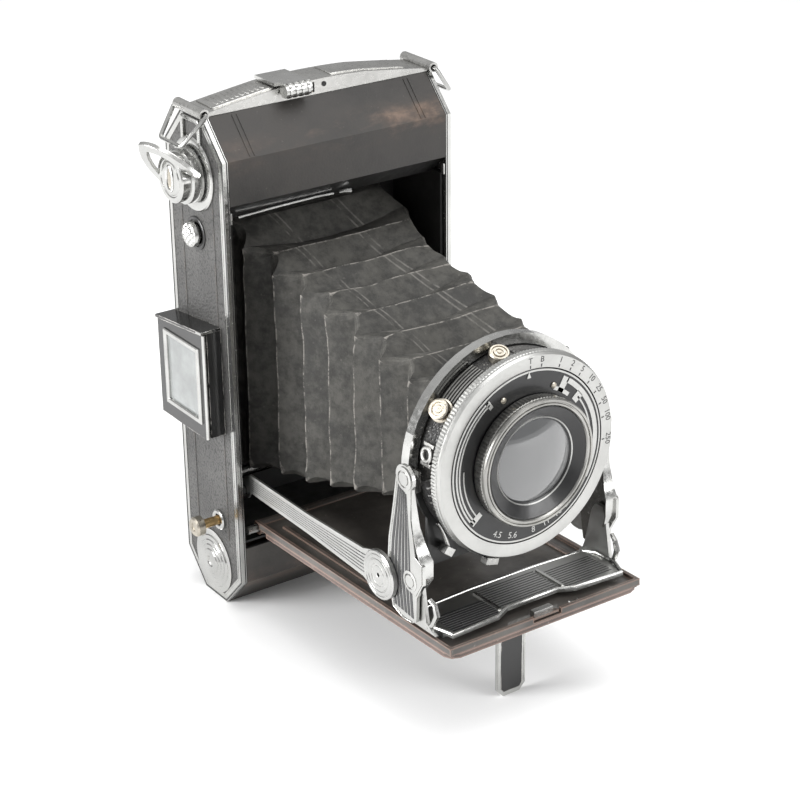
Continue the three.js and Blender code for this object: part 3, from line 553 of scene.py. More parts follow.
def piece(name, shape, look, body, replaces=(), edge=0.0, smooth=32):
    verts, faces = shape
    mesh = bpy.data.meshes.new(name)
    mesh.from_pydata([Vector(v) * MM for v in verts], [], faces)
    mesh.validate()
    mesh.materials.append(LOOKS[look])
    mesh.shade_smooth()
    mesh.set_sharp_from_angle(angle=math.radians(smooth))
    obj = bpy.data.objects.new(name, mesh)
    bpy.context.scene.collection.objects.link(obj)
    tidy_normals(obj)
    if edge:
        soften(obj, edge)
    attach(obj, body)
    if replaces:
        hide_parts(*replaces)
    return obj


def tidy_normals(obj):
    mesh = bmesh.new()
    mesh.from_mesh(obj.data)
    bmesh.ops.recalc_face_normals(mesh, faces=mesh.faces)
    mesh.to_mesh(obj.data)
    mesh.free()


def on_bed(shape):
    y, z = BED_HINGE
    to_hinge = Matrix.Translation((0, -y, -z))
    return moved(shape, to_hinge.inverted() @ Matrix.Rotation(-BED_TILT, 4, "X") @ to_hinge)


def between(low, high, share):
    return tuple(a + (b - a) * share for a, b in zip(low, high))


def band(low_path, high_path, start, end, axis, low, high):
    """A strip between two paths of section points, from one share of the gap to another."""
    lower = [between(a, b, start) for a, b in zip(low_path, high_path)]
    upper = [between(a, b, end) for a, b in zip(low_path, high_path)]
    return prism(lower + upper[::-1], axis, low, high)


def ring_point(radius, angle, y):
    """On the shutter's face; the angle is from straight up, clockwise as seen from the front."""
    return (radius * math.sin(angle), y, LENS_Z + radius * math.cos(angle))


def ring_part(inner, outer, start, end, front, back, step=0.05):
    """A flat piece of a ring on the shutter's face, between two angles."""
    count = max(2, int(abs(end - start) / step) + 1)
    angles = [start + (end - start) * i / (count - 1) for i in range(count)]
    path = [(inner, a) for a in angles] + [(outer, a) for a in reversed(angles)]
    points = [(r * math.sin(a), LENS_Z + r * math.cos(a)) for r, a in path]
    return prism(points, "y", front, back)


def lettering(text, size):
    """A flat mesh of a few generic characters, centred, in the XY plane, in millimetres."""
    curve = bpy.data.curves.new("characters", "FONT")
    curve.body = text
    curve.size = size
    curve.align_x = "CENTER"
    curve.align_y = "CENTER"
    curve.extrude = 0.03
    curve.resolution_u = 3
    obj = bpy.data.objects.new("characters", curve)
    bpy.context.scene.collection.objects.link(obj)
    bpy.context.view_layer.update()
    mesh = bpy.data.meshes.new_from_object(obj.evaluated_get(bpy.context.evaluated_depsgraph_get()))
    shape = [tuple(v.co) for v in mesh.vertices], [tuple(p.vertices) for p in mesh.polygons]
    bpy.data.objects.remove(obj)
    bpy.data.curves.remove(curve)
    bpy.data.meshes.remove(mesh)
    return shape


def dial_text(text, size, radius, angle, y, upright=False):
    """Characters on the shutter's face with their feet towards the lens, or outwards along the bottom."""
    turned_angle = angle + (math.pi if upright else 0)
    turn = Matrix.Translation(ring_point(radius, angle, y)) @ Matrix.Rotation(turned_angle, 4, "Y")
    return moved(lettering(text, size), turn @ Matrix.Rotation(math.pi / 2, 4, "X"))


# ---- casing -----------------------------------------------------------------------------------------

def octagon(inset):
    half_depth, depth, height = 17, 10.4, 11.1
    slant = math.hypot(depth, height)
    flat = half_depth - depth - inset * (slant - depth) / height
    shoulder = height + inset * (slant - height) / depth
    face = half_depth - inset
    quarter = [(flat, inset), (face, shoulder)]
    low = [(-y, z) for y, z in quarter[::-1]] + quarter
    return low + [(y, HEIGHT - z) for y, z in low[::-1]]


def octagon_ring(outer, inner, low, high):
    """A flat ring that follows the side panel's outline."""
    rings = [[(x, y, z) for y, z in octagon(inset)] for inset, x in
             ((outer, low), (outer, high), (inner, high), (inner, low))]
    return loft(rings, closed=True)


def add_casing():
    for side, word in ((-1, "left"), (1, "right")):
        # Painted shade: this dark ring on the panel's outer face stands for the shadow where the rim steps.
        line = octagon_ring(0.22, 0.8, side * 40.9, side * 41.04)
        piece(f"{word}_rim_painted_shade", line, "dark", "body")
        bead = octagon_ring(2.0, 2.5, side * 40.6, side * 41.1)
        piece(f"{word}_rim_bead", bead, "chrome", "body")
        # Painted shade: a dark ring along the corner of the panel's front edge, for the shadow at the same
        # step.
        groove = octagon_ring(-0.03, 0.5, side * 39.45, side * 39.8)
        piece(f"{word}_rim_edge_painted_shade", groove, "dark", "body")
    ribs = merged(*(block((-41.08, -40.9), (y, y + 0.7), (24, 139)) for y in (-10.2, 8.6)))
    for word, on_side in SIDES:
        piece(f"{word}_panel_ribs", on_side(ribs), "leather", "body")

    rod = tube([(-33.4, -11.6, 131.2), (-20, -11.6, 131.7), (-6, -11.6, 131.9), (0.5, -11.6, 131.7)], 0.42)
    tip = tube([(2.6, -11.6, 131.7), (4, -12, 131.9), (6.4, -12.3, 131.6)], lambda t: 0.55 + 0.35 * t)
    piece("opening_rod", merged(rod, tip), "chrome", "body")
    tabs = [block(sorted((side * 38.3, side * 38.9)), (-16.8, -15.4), (131.5, 135)) for side in (-1, 1)]
    piece("cover_tabs", merged(*tabs), "nickel", "body", edge=0.1)
    seam = [(-16.85, 151.35), (-16.62, 151.1), (-7.0, 161.35), (-7.2, 161.7)]
    stitched = [prism(seam, "x", x, x + 0.35) for x in (-31.5, -29.9, 29.9, 31.5)]
    piece("cover_seams", merged(*stitched), "upper_cover", "body")


# ---- bellows ----------------------------------------------------------------------------------------

BELLOWS_FRONT = -96.1
BELLOWS_REAR = 10.8

# Half width, top and bottom of the folded skin at a few places from the lens board to the film gate:
# (y, half width of the side ridges, top ridge above the lens axis, bottom ridge below it).
BELLOWS_SIZES = [
    (BELLOWS_FRONT, 24.4, 23.0, 18.5), (-86, 24.6, 23.2, 19.0),
    (-72, 24.5, 24.6, 22.2), (-58, 24.3, 27.3, 26.6),
    (-44, 24.1, 29.2, 31.0), (-30, 24.0, 30.8, 35.2),
    (-16, 24.8, 32.6, 38.0), (-2, 27.2, 37.5, 40.5),
    (BELLOWS_REAR, 29.6, 43.2, 43.2),
]


def bellows_size(y):
    for low, high in zip(BELLOWS_SIZES, BELLOWS_SIZES[1:]):
        if y <= high[0]:
            return between(low[1:], high[1:], (y - low[0]) / (high[0] - low[0]))
    return BELLOWS_SIZES[-1][1:]


def bellows_rows():
    """For each ring of the skin: its y, the y of its top ridge, how far out the top is, how far out the
    sides are, and how free the skin is."""
    folds = [BELLOWS_FRONT, -93] + [-86 + 7 * k for k in range(13)] + [6.5, BELLOWS_REAR]
    per_fold = 6
    rows = []
    for k, (here, ahead) in enumerate(zip(folds, folds[1:])):
        last = k == len(folds) - 2
        for step in range(per_fold + last):
            t = step / per_fold
            y = here + (ahead - here) * t
            top_out = t if k % 2 == 0 else 1 - t
            free = min(1.0, (y - BELLOWS_FRONT) / 8 + 0.1, (BELLOWS_REAR - y) / 10 + 0.25)
            rows.append((y, here if k % 2 else ahead, top_out, 1 - top_out, free))
    return rows


SIDE_FOLD = 5.4
TOP_FOLD = 1.2
TOP_DIP = 3.0


def right_spread(y):
    """The right side stands further out than the left, most of all at the rear."""
    return 1.2 + 6.3 * min(1.0, (BELLOWS_FRONT - y) / BELLOWS_FRONT) - max(0.0, y + 3) * 0.35


def add_bellows():
    """Pleated skin: the sides fold in where the top and bottom fold out, with a gusset at each corner."""
    across = 24
    outwards = [Vector((0, 0, 1)), Vector((1, 0, 0)), Vector((0, 0, -1)), Vector((-1, 0, 0))]
    verts, wear, seam, faces = [], [], [], []
    rows = bellows_rows()
    for y, y_ridge, top_out, side_out, free in rows:
        width, top, bottom = bellows_size(y)
        spread = right_spread(y)
        right = width + spread - (SIDE_FOLD - 0.6 * spread) * (1 - side_out) * free
        left = width - SIDE_FOLD * (1 - side_out) * free
        top -= TOP_FOLD * (1 - top_out) * free
        bottom -= TOP_FOLD * (1 - top_out) * free
        gusset = top_out * side_out
        cuts = (0.9 + 6.0 * gusset, 0.9 + 2.0 * gusset, 0.9 + 2.0 * gusset, 0.9 + 6.0 * gusset)
        corners = [(-left, top), (right, top), (right, -bottom), (-left, -bottom)]
        for index, (x, z) in enumerate(corners):
            next_x, next_z = corners[(index + 1) % 4]
            dx, dz = (next_x > x) - (next_x < x), (next_z > z) - (next_z < z)
            cut, next_cut = cuts[index], cuts[(index + 1) % 4]
            start = Vector((x + dx * cut, 0, z + dz * cut))
            end = Vector((next_x - dx * next_cut, 0, next_z - dz * next_cut))
            outward = top_out if index % 2 == 0 else side_out
            for i in range(across):
                share = i / (across - 1)
                point = start.lerp(end, share) + Vector((0, y, LENS_Z))
                near_corner = max(0.0, 1 - 6 * min(share, 1 - share))
                crumple = noise.noise(point * 0.09) * 0.4 + noise.noise(point * 0.4) * 0.12
                crumple *= (1 + 2.0 * near_corner) * free
                sag = 0.3 * math.sin(math.pi * share) * free
                if index == 0:
                    sag += TOP_DIP * (1 - top_out) * free * min(1.0, 3 * share, 3 * (1 - share))
                point += outwards[index] * (crumple - sag) + Vector((0, 0.5 * crumple, 0))
                verts.append(tuple(point))
                crease = 1.0 if outward > 0.99 else 0.25 if outward > 0.8 else 0.0
                wear.append(min(1.0, max(crease * free, near_corner ** 3 * (0.2 + 0.7 * outward))))
                seam.append((point.x + 0.55 * (y - y_ridge)) / LINE_SPAN if index == 0 else 0)
    count = 4 * across
    for r in range(len(rows) - 1):
        low, high = r * count, (r + 1) * count
        faces += [(low + i, low + (i + 1) % count, high + (i + 1) % count, high + i) for i in range(count)]
    skin = piece("bellows_skin", (verts, faces), "bellows", "body", ["bellows"], smooth=24)
    for name, values in (("wear", wear), ("seam", seam)):
        layer = skin.data.attributes.new(name, "FLOAT", "POINT")
        layer.data.foreach_set("value", values)
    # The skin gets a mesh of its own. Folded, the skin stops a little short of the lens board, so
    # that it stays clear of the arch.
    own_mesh(skin)


# ---- top --------------------------------------------------------------------------------------------

def arch_height(x):
    """Height of the top plate's crown above a point of its length."""
    x = min(abs(x), 40.2)
    if x < 16:
        t = (x + 16) / 32
        return 166.2 + 2 * t * (1 - t)
    low, high = 0.0, 1.0
    for _ in range(24):
        t = (low + high) / 2
        here = 40.2 * (1 - t) ** 2 + 64 * t * (1 - t) + 16 * t * t
        low, high = (t, high) if here > x else (low, t)
    return 163 * (1 - t) ** 2 + 2 * 164.2 * t * (1 - t) + 166.2 * t * t


def arched(x0, x1, y0, y1, lift, steps=10):
    """A plate that follows the crown between two lengths, raised by a lift."""
    xs = [x0 + (x1 - x0) * i / steps for i in range(steps + 1)]
    top = [(x, arch_height(x) + lift) for x in xs]
    low = [(x, arch_height(x) - 0.4) for x in reversed(xs)]
    return prism(top + low, "y", y0, y1)


def handle_wire(side, bar_x):
    reach, drop, wide, narrow, height = 7.4, 8.8, 8.9, 6.2, 163.4
    out = Vector((side * reach, 0, -drop))
    start = Vector((side * bar_x, 0, height))
    path = []
    bends = ((0, wide - 0.8), (0, wide), (0.12, wide), (0.85, narrow + 0.4), (0.96, narrow), (1, narrow - 1))
    for share, half in bends:
        path.append(start + out * share + Vector((0, half, 0)))
    path += [Vector((p.x, -p.y, p.z)) for p in reversed(path)]
    return tube(path, 0.68, 10, closed=True)


def add_top():
    piece("top_pad", arched(-36.4, -15.2, -4.9, 4.9, 0.45), "nickel", "body", edge=0.2)
    ribs = [arched(-34.2 + 1.75 * i, -33.4 + 1.75 * i, -3.4, 3.6, 0.6, steps=2) for i in range(10)]
    piece("top_pad_ribs", merged(*ribs), "nickel", "body", edge=0.15)
    piece("top_right_pad", arched(5.4, 32.5, -4.2, 5.2, 0.4), "nickel", "body", edge=0.2)
    knurl = []
    for i in range(4):
        x = -13.4 + 2.1 * i
        ridge = [(1.2, x), (2.35, x + 0.3), (2.35, x + 1.1), (1.2, x + 1.4)]
        knurl.append(turned(ridge, "x", (-8.7, 165.8), 36, lambda _, a: 0.1 * math.sin(18 * a)))
    piece("latch_knurl", merged(*knurl), "chrome", "latch", smooth=20)
    piece("top_pin", block((-4.0, -2.2), (-6.15, -5.4), (161.9, 165)), "aged", "body", edge=0.2)
    # A near-black disc of painted shade stands for the shade inside this hole.
    piece("top_hole", turned([(0.01, -6.4), (0.8, -6.4), (0.8, -6.15), (0.01, -6.15)], "y", (1.6, 164.9), 20),
          "hole_shade", "body")
    for side, word in ((-1, "left"), (1, "right")):
        piece(f"{word}_wire_loop", handle_wire(side, 41), "chrome", f"{word}_loop", [f"{word}_handle_loop"])
        outer = [(-5.6, 152.6), (-5.6, 160.2), (-4.6, 161.2), (4.6, 161.2), (5.6, 160.2), (5.6, 152.6)]
        inner = [(-4.1, 152.6), (-4.1, 159.4), (-3.7, 159.8), (3.7, 159.8), (4.1, 159.4), (4.1, 152.6)]
        frame_shape = prism(outer + inner[::-1], "x", *sorted((side * 40.9, side * 41.9)))
        piece(f"{word}_strap_frame", frame_shape, "chrome", "body", edge=0.2)


# ---- film transport ---------------------------------------------------------------------------------

KEY_Z = 143.5
# The drawn wing stands on the hub, a little nearer the body than the axis it turns on.
WING_HINGE = (-46.3, -1.2, 143.2)
WING_LIFT = math.radians(40)
WING_TILT = 0.39


def bezier(a, b, c, steps):
    return [tuple((1 - t) ** 2 * p + 2 * t * (1 - t) * q + t * t * r for p, q, r in zip(a, b, c))
            for t in (i / steps for i in range(steps + 1))]


def wing_frame():
    """Local x runs along the key's hinge, y away from it, z through the wing."""
    along = Vector((0, -math.cos(WING_TILT), math.sin(WING_TILT)))
    in_plane = Vector((0, math.sin(WING_TILT), math.cos(WING_TILT)))
    up = in_plane * math.cos(WING_LIFT) + Vector((-1, 0, 0)) * math.sin(WING_LIFT)
    normal = along.cross(up)
    turn = Matrix((along, up, normal)).transposed().to_4x4()
    return Matrix.Translation(WING_HINGE) @ turn


def add_key():
    disc = dished([(11.6, -41.0), (11.6, -41.45), (11.2, -41.9), (10.4, -42.15), (9.4, -42.1), (8.4, -41.8),
                   (0, -41.8)], "x", (0, KEY_Z), 96)
    piece("key_escutcheon", disc, "chrome", "body", ["winding_escutcheon"], smooth=25)
    hub = dished([(8.6, -42.5), (8.6, -43.6), (8.2, -43.8), (8.2, -44.4), (8.5, -44.6), (8.5, -45.7),
                  (7.9, -46.3), (7.5, -46.4), (7.5, -48.9), (7.1, -49.3), (5.9, -49.3), (5.6, -49.0),
                  (5.2, -49.0), (4.9, -49.3), (4.4, -49.35), (0, -49.35)], "x", (0, KEY_Z), 96)
    shaft = dished([(2.4, -42.5), (2.4, -33.8), (0, -33.8)], "x", (0, KEY_Z), 32)
    piece("key_hub", merged(hub, shaft), "chrome", "winder", ["winding_hub"], smooth=25)
    oval = [(1.75 * math.cos(TAU * i / 40), KEY_Z + 3.9 * math.sin(TAU * i / 40)) for i in range(40)]
    ring = tube([(-49.4, y, z) for y, z in oval], 0.42, 8, closed=True)
    piece("key_oval_ring", ring, "chrome", "winder")
    slot = prism([(y * 0.6, KEY_Z + (z - KEY_Z) * 0.8) for y, z in oval], "x", -49.45, -49.3)
    piece("key_oval_slot", slot, "aged", "winder")

    half, height = 10.9, 16.6
    rear = bezier((-half, -1.2), (-half, height * 0.62), (0.4, height), 14)
    front = bezier((0.4, height), (half * 0.95, height * 0.9), (half, -1.2), 18)
    outer = rear + front[1:]
    inner_front = bezier((half - 2.5, -1.2), (half * 0.62, height * 0.66), (0.2, height - 3.4), 16)
    inner_rear = bezier((0.2, height - 3.4), (-half * 0.72, height * 0.5), (-half + 2.3, -1.2), 14)
    strip = prism(outer + inner_front + inner_rear[1:], "z", -0.6, 0.6)
    bead = tube([(x * 0.97, y * 0.97, -0.6) for x, y in outer], 0.35, 8)
    pins = [tube([(side * 8.7, 0, 0), (side * 10.6, 0, 0)], 1.0, 14) for side in (-1, 1)]
    wing = moved(merged(strip, bead, *pins), wing_frame())
    piece("key_wing", wing, "chrome", "winder_wing", ["winding_wing"], edge=0.15)


BUTTON = (0.5, 124.5)


def button_dome():
    """A low dome with a chequered face."""
    steps, spokes = 22, 72
    rings = []
    for i in range(steps + 1):
        radius = 3.9 * i / steps
        ring = []
        for s in range(spokes):
            angle = TAU * s / spokes
            y, z = radius * math.sin(angle), radius * math.cos(angle)
            chequer = math.sin(y * 3.6) * math.sin(z * 3.6)
            height = 1.9 * (1 - (radius / 4.6) ** 2) + (0.3 * chequer if radius < 3.6 else 0)
            ring.append((-43.1 - height, BUTTON[0] + y, BUTTON[1] + z))
        rings.append(ring)
    angles = [TAU * s / spokes for s in range(spokes)]
    rings.append([(-42.3, BUTTON[0] + 4 * math.sin(a), BUTTON[1] + 4 * math.cos(a)) for a in angles])
    return loft(rings)


def add_side_controls():
    stem = dished([(3.0, -40.6), (3.0, -42.6), (0, -42.6)], "x", BUTTON, 40)
    piece("button_head", merged(button_dome(), stem), "chrome", "button", ["release_button"], smooth=60)
    collar = turned([(4.25, -40.9), (5.3, -40.9), (5.3, -41.3), (5.0, -41.5), (4.25, -41.5)], "x",
                    BUTTON, 48)
    piece("button_collar", collar, "dark", "body")

    profile = [(10.8, -41.0), (10.8, -41.35)]
    for radius, height in ((10.2, 41.5), (8.9, 41.5), (8.6, 41.9), (7.4, 41.9), (7.1, 42.2), (5.9, 42.2),
                           (5.6, 42.5), (4.4, 42.5), (4.1, 42.8), (1.9, 42.8), (1.6, 42.4), (0, 42.4)):
        profile.append((radius, -height))
    piece("lower_disc", dished(profile, "x", (0, 12.5), 96), "chrome", "body", ["lower_spool_cap"], smooth=20)

    where = (-5, 29.5)
    shaft = dished([(1.5, -38.4), (1.5, -48.6), (0, -48.6)], "x", where, 28)
    piece("pull_shaft", shaft, "brass", "pull_knob", ["spool_pull_knob"])
    head = dished([(2.3, -47.6), (3.2, -48.0), (3.2, -50.2), (2.7, -50.8), (1.4, -50.8), (1.2, -50.5),
                   (0, -50.5)], "x", where, 44)
    piece("pull_head", head, "aged", "pull_knob", smooth=25)
    boss = turned([(1.9, -41.0), (3.4, -41.0), (3.4, -41.7), (3.0, -42.1), (2.2, -42.1), (1.9, -41.8)], "x",
                  where, 40)
    piece("pull_boss", boss, "chrome", "body")


# ---- finder -----------------------------------------------------------------------------------------

def frame_ring(y, z, width, depth, x_low, x_high):
    """A rectangular frame with mitred, sloping inner edges."""
    rings = []
    for inset, x in ((0, x_low), (0, x_high - depth), (0.25, x_high), (width - 0.3, x_high),
                     (width, x_high - depth), (width, x_low)):
        y0, y1, z0, z1 = y[0] + inset, y[1] - inset, z[0] + inset, z[1] - inset
        rings.append([(-x, y0, z0), (-x, y1, z0), (-x, y1, z1), (-x, y0, z1)])
    return loft(rings, closed=True)


def add_finder():
    border = frame_ring((-8.7, 12.9), (65.8, 91.1), 1.7, 0.35, 46.95, 48.1)
    piece("finder_border", border, "chrome", "finder_front", edge=0.08)
    rear = frame_ring((2.6, 13.4), (68, 89), 1.0, 0.2, 43.1, 43.5)
    piece("finder_rear_border", rear, "nickel", "finder_rear")
    pin = tube([(-47.0, -10.9, 61.5), (-47.0, -10.9, 96.2)], 0.62, 12)
    piece("finder_hinge_pin", pin, "chrome", "body")
    corner = [(-11.55, 96.6), (-8.4, 96.3), (-8.4, 97.2), (-11.55, 97.55)]
    piece("finder_worn_corner", prism(corner, "x", -48.25, -44.2), "chrome", "body", edge=0.1)


# ---- bed and foot -----------------------------------------------------------------------------------

DECK_TOP = 33.2


def deck_lines(x0, x1, y0, y1, count, share):
    """Thin enamelled lines along X between two depths; each fills this share of its pitch."""
    pitch = (y1 - y0) / count
    lines = []
    for i in range(count):
        y = y0 + pitch * i
        lines.append(block((x0, x1), (y, y + pitch * share), (DECK_TOP - 0.05, DECK_TOP + 0.07)))
    return merged(*lines)


def add_bed():
    left = deck_lines(-29.5, -12.2, -115.2, -104.8, 9, 0.7)
    middle = deck_lines(-10.4, 10.4, -111.6, -99.2, 10, 0.34)
    right = deck_lines(12.2, 29.5, -113.6, -101.6, 10, 0.34)
    piece("crossplate_lines", on_bed(merged(left, middle, right)), "stripe", "bed")
    steps = []
    for side in (-1, 1):
        across = sorted((side * 11.0, side * 12.0))
        steps.append(block(across, (-112.8, -100.5), (DECK_TOP - 0.1, DECK_TOP + 0.55)))
    rim = [(-31, -117), (-14, -116), (-9, -113.4), (9, -113.4), (14, -116), (31, -117)]
    lip = tube([(x, y + 0.5, DECK_TOP + 0.05) for x, y in rim], 0.5, 8)
    rear = tube([(-30, -98.6, DECK_TOP + 0.05), (-12, -97.6, DECK_TOP + 0.05), (12, -97.6, DECK_TOP + 0.05),
                 (30, -98.6, DECK_TOP + 0.05)], 0.4, 8)
    ends = [tube([(side * 30.6, -116.4, DECK_TOP + 0.05), (side * 32.6, -111, DECK_TOP + 0.5),
                  (side * 32.4, -103, DECK_TOP + 0.5), (side * 30.6, -98.8, DECK_TOP + 0.05)], 0.55, 8)
            for side in (-1, 1)]
    piece("crossplate_rim", on_bed(merged(lip, rear, *steps, *ends)), "chrome", "bed")

    hooks = []
    for side in (-1, 1):
        path = [(side * 33.4, -108.2, 36.4), (side * 33.2, -110.2, 38.4), (side * 32.8, -111.6, 41.6),
                (side * 32.8, -110.6, 44.4), (side * 33.2, -108.6, 45.6)]
        hooks.append(tube(path, lambda t: 0.95 - 0.3 * abs(2 * t - 1), 10))
    piece("crossplate_hooks", merged(*hooks), "chrome", "bed")

    rails = [block(sorted((side * 28.2, side * 29.6)), (-94, -24), (30.3, 31.0)) for side in (-1, 1)]
    piece("bed_rails", on_bed(merged(*rails)), "bed_paint", "bed", edge=0.2)
    mark = [(11.5 + 1.5 * math.cos(a), -117.6 - 1.0 * math.sin(a), 30.75)
            for a in (math.pi * i / 10 for i in range(11))]
    piece("bed_mark", on_bed(tube(mark, 0.22, 6)), "nickel", "bed")
    catch = block((-4.6, 4.6), (-119.9, -118.4), (30.2, 30.9))
    piece("bed_catch_seat", on_bed(catch), "bed_paint", "bed", edge=0.15)

    outline = [(-34.5, -22), (-34.5, -117), (-33.4, -119.4), (-31, -120.4), (31, -120.4), (33.4, -119.4),
               (34.5, -117), (34.5, -22)]
    inset = [(x - math.copysign(0.5, x), max(y, -119.9)) for x, y in outline]
    apron = prism(outline + inset[::-1], "z", 27.7, 29.18)
    piece("bed_apron", on_bed(apron), "worn_paint", "bed")

    plate = [(-3.9, 2.6), (-2.9, 1.4), (2.9, 1.4), (3.9, 2.6), (3.9, 27.5), (-3.9, 27.5)]
    piece("foot_panel", prism(plate, "y", -103.66, -103.5), "enamel", "foot", edge=0.05)
    back = prism(plate, "y", -102.5, -102.34)
    piece("foot_back_panel", back, "enamel", "foot", edge=0.05)
    beads = []
    for side in (-1, 1):
        beads.append(tube([(side * 4.75, -103.5, 3), (side * 4.75, -103.5, 28.5)], 0.3, 6))
    piece("foot_beads", merged(*beads), "chrome", "foot")


# ---- struts and legs ----------------------------------------------------------------------------------

def add_struts():
    low = [(-17.5, 43.5), (-50, 43.5), (-78, 42.6), (-84.5, 42.6)]
    high = [(-17.5, 47.7), (-50, 48.0), (-78, 49.4), (-84.5, 49.8)]
    count = 6
    stripes = []
    for i in range(count):
        start = (i + 0.2) / count
        stripes.append(band(low, high, start, start + 0.36 / count, "x", -36.5, -36.4))
    rings = [(7.6, -36.85), (7.6, -37.1), (7.3, -37.35), (6.7, -37.35), (6.55, -37.22), (6.4, -37.22),
             (6.25, -37.35), (5.3, -37.35), (5.15, -37.2), (4.95, -37.2), (4.8, -37.42), (3.5, -37.42),
             (3.35, -37.2), (3.0, -37.2), (2.85, -37.42), (0.9, -37.42), (0.6, -37.3), (0, -37.3)]
    disc = dished(rings, "x", (-88.9, 46), 72)
    rear = dished([(1.4, -36.4), (1.4, -36.7), (0, -36.85)], "x", (-12.9, 42), 24)
    for word, on_side in SIDES:
        piece(f"{word}_strut_stripes", on_side(merged(*stripes)), "stripe", "struts")
        piece(f"{word}_strut_disc", on_side(merged(disc, rear)), "chrome", "struts", smooth=20)


# Inner edge of the strip bent inwards along the front of each leg.
FLANGE = [
    (-34.6, -103.2, 83), (-33.6, -103.2, 73.8), (-32.9, -103.9, 66.5), (-31.8, -106, 60), (-31.2, -107.8, 57),
    (-31.2, -107.8, 51.5), (-32.6, -105.4, 46.6),
]


def boss(where, radius, base, top):
    """A low rivet head with a dark groove round it, on the left side."""
    groove = -base - 0.02
    profile = [(radius, -base), (radius, -top + 0.1), (radius * 0.9, -top), (radius * 0.74, -top),
               (radius * 0.7, groove), (radius * 0.62, groove), (radius * 0.58, -top), (0, -top - 0.03)]
    return dished(profile, "x", where, 48)


def add_legs():
    rear = [(-96.9, 78.2), (-95.6, 71), (-93.4, 60), (-92.5, 50), (-94.3, 38.9)]
    front = [(-101.2, 76.2), (-102.2, 69), (-103, 58), (-103.2, 50), (-104.2, 38.0)]
    count = 6
    stripes = []
    for i in range(count):
        start = (i + 0.18) / count
        stripes.append(band(rear, front, start, start + 0.68 / count, "x", -35.58, -35.45))
    link = [(-98.4, 81.2), (-99.4, 84.2), (-101.2, 84.2), (-103.4, 82), (-103.1, 69), (-105.2, 58.4),
            (-108.2, 57), (-108.2, 50.9), (-105.2, 45.9), (-103, 46.2), (-102.9, 50), (-102.8, 58),
            (-102.0, 69), (-101.4, 76.6)]
    bar = prism(link, "x", -35.74, -35.45)
    edge_path = [(-96.6, 81), (-95.0, 72), (-92.4, 59.4), (-91.6, 50), (-94.0, 37.8), (-99, 36.2),
                 (-103, 36.5)]
    border = tube([(-35.5, y, z) for y, z in edge_path], 0.33, 8)
    bosses = merged(boss((-100.1, 80.9), 3.5, 35.5, 35.95), boss((-102.6, 49.7), 3.2, 35.5, 35.95))
    flange = loft([[(x, y, z), (x, y + 0.5, z), (-35.5, y + 0.5, z), (-35.5, y, z)] for x, y, z in FLANGE])
    for word, on_side in SIDES:
        piece(f"{word}_leg_stripes", on_side(merged(*stripes)), "stripe", "legs")
        piece(f"{word}_leg_link", on_side(merged(bar, border, flange)), "chrome", "legs", edge=0.06)
        piece(f"{word}_leg_rivets", on_side(bosses), "chrome", "legs", smooth=20)


# ---- lens standard --------------------------------------------------------------------------------------

DRUM_RADIUS = 29.3
FACE_FRONT = -109.85


def on_rim(shape, angle, radius, y, lean=0.0):
    """Stands a shape, drawn around +Z from the origin, on the shutter's rim, leaning to the front."""
    stand = Matrix.Translation((0, 0, radius)) @ Matrix.Rotation(lean, 4, "X")
    return moved(shape, Matrix.Translation((0, y, LENS_Z)) @ Matrix.Rotation(angle, 4, "Y") @ stand)


def rim_disc(profile, segments=40):
    return dished(profile, "z", (0, 0), segments)


def rim_band(inner, outer, start, end, front, back):
    """A band round the shutter's drum."""
    return ring_part(inner, outer, start, end, front, back, 0.04)


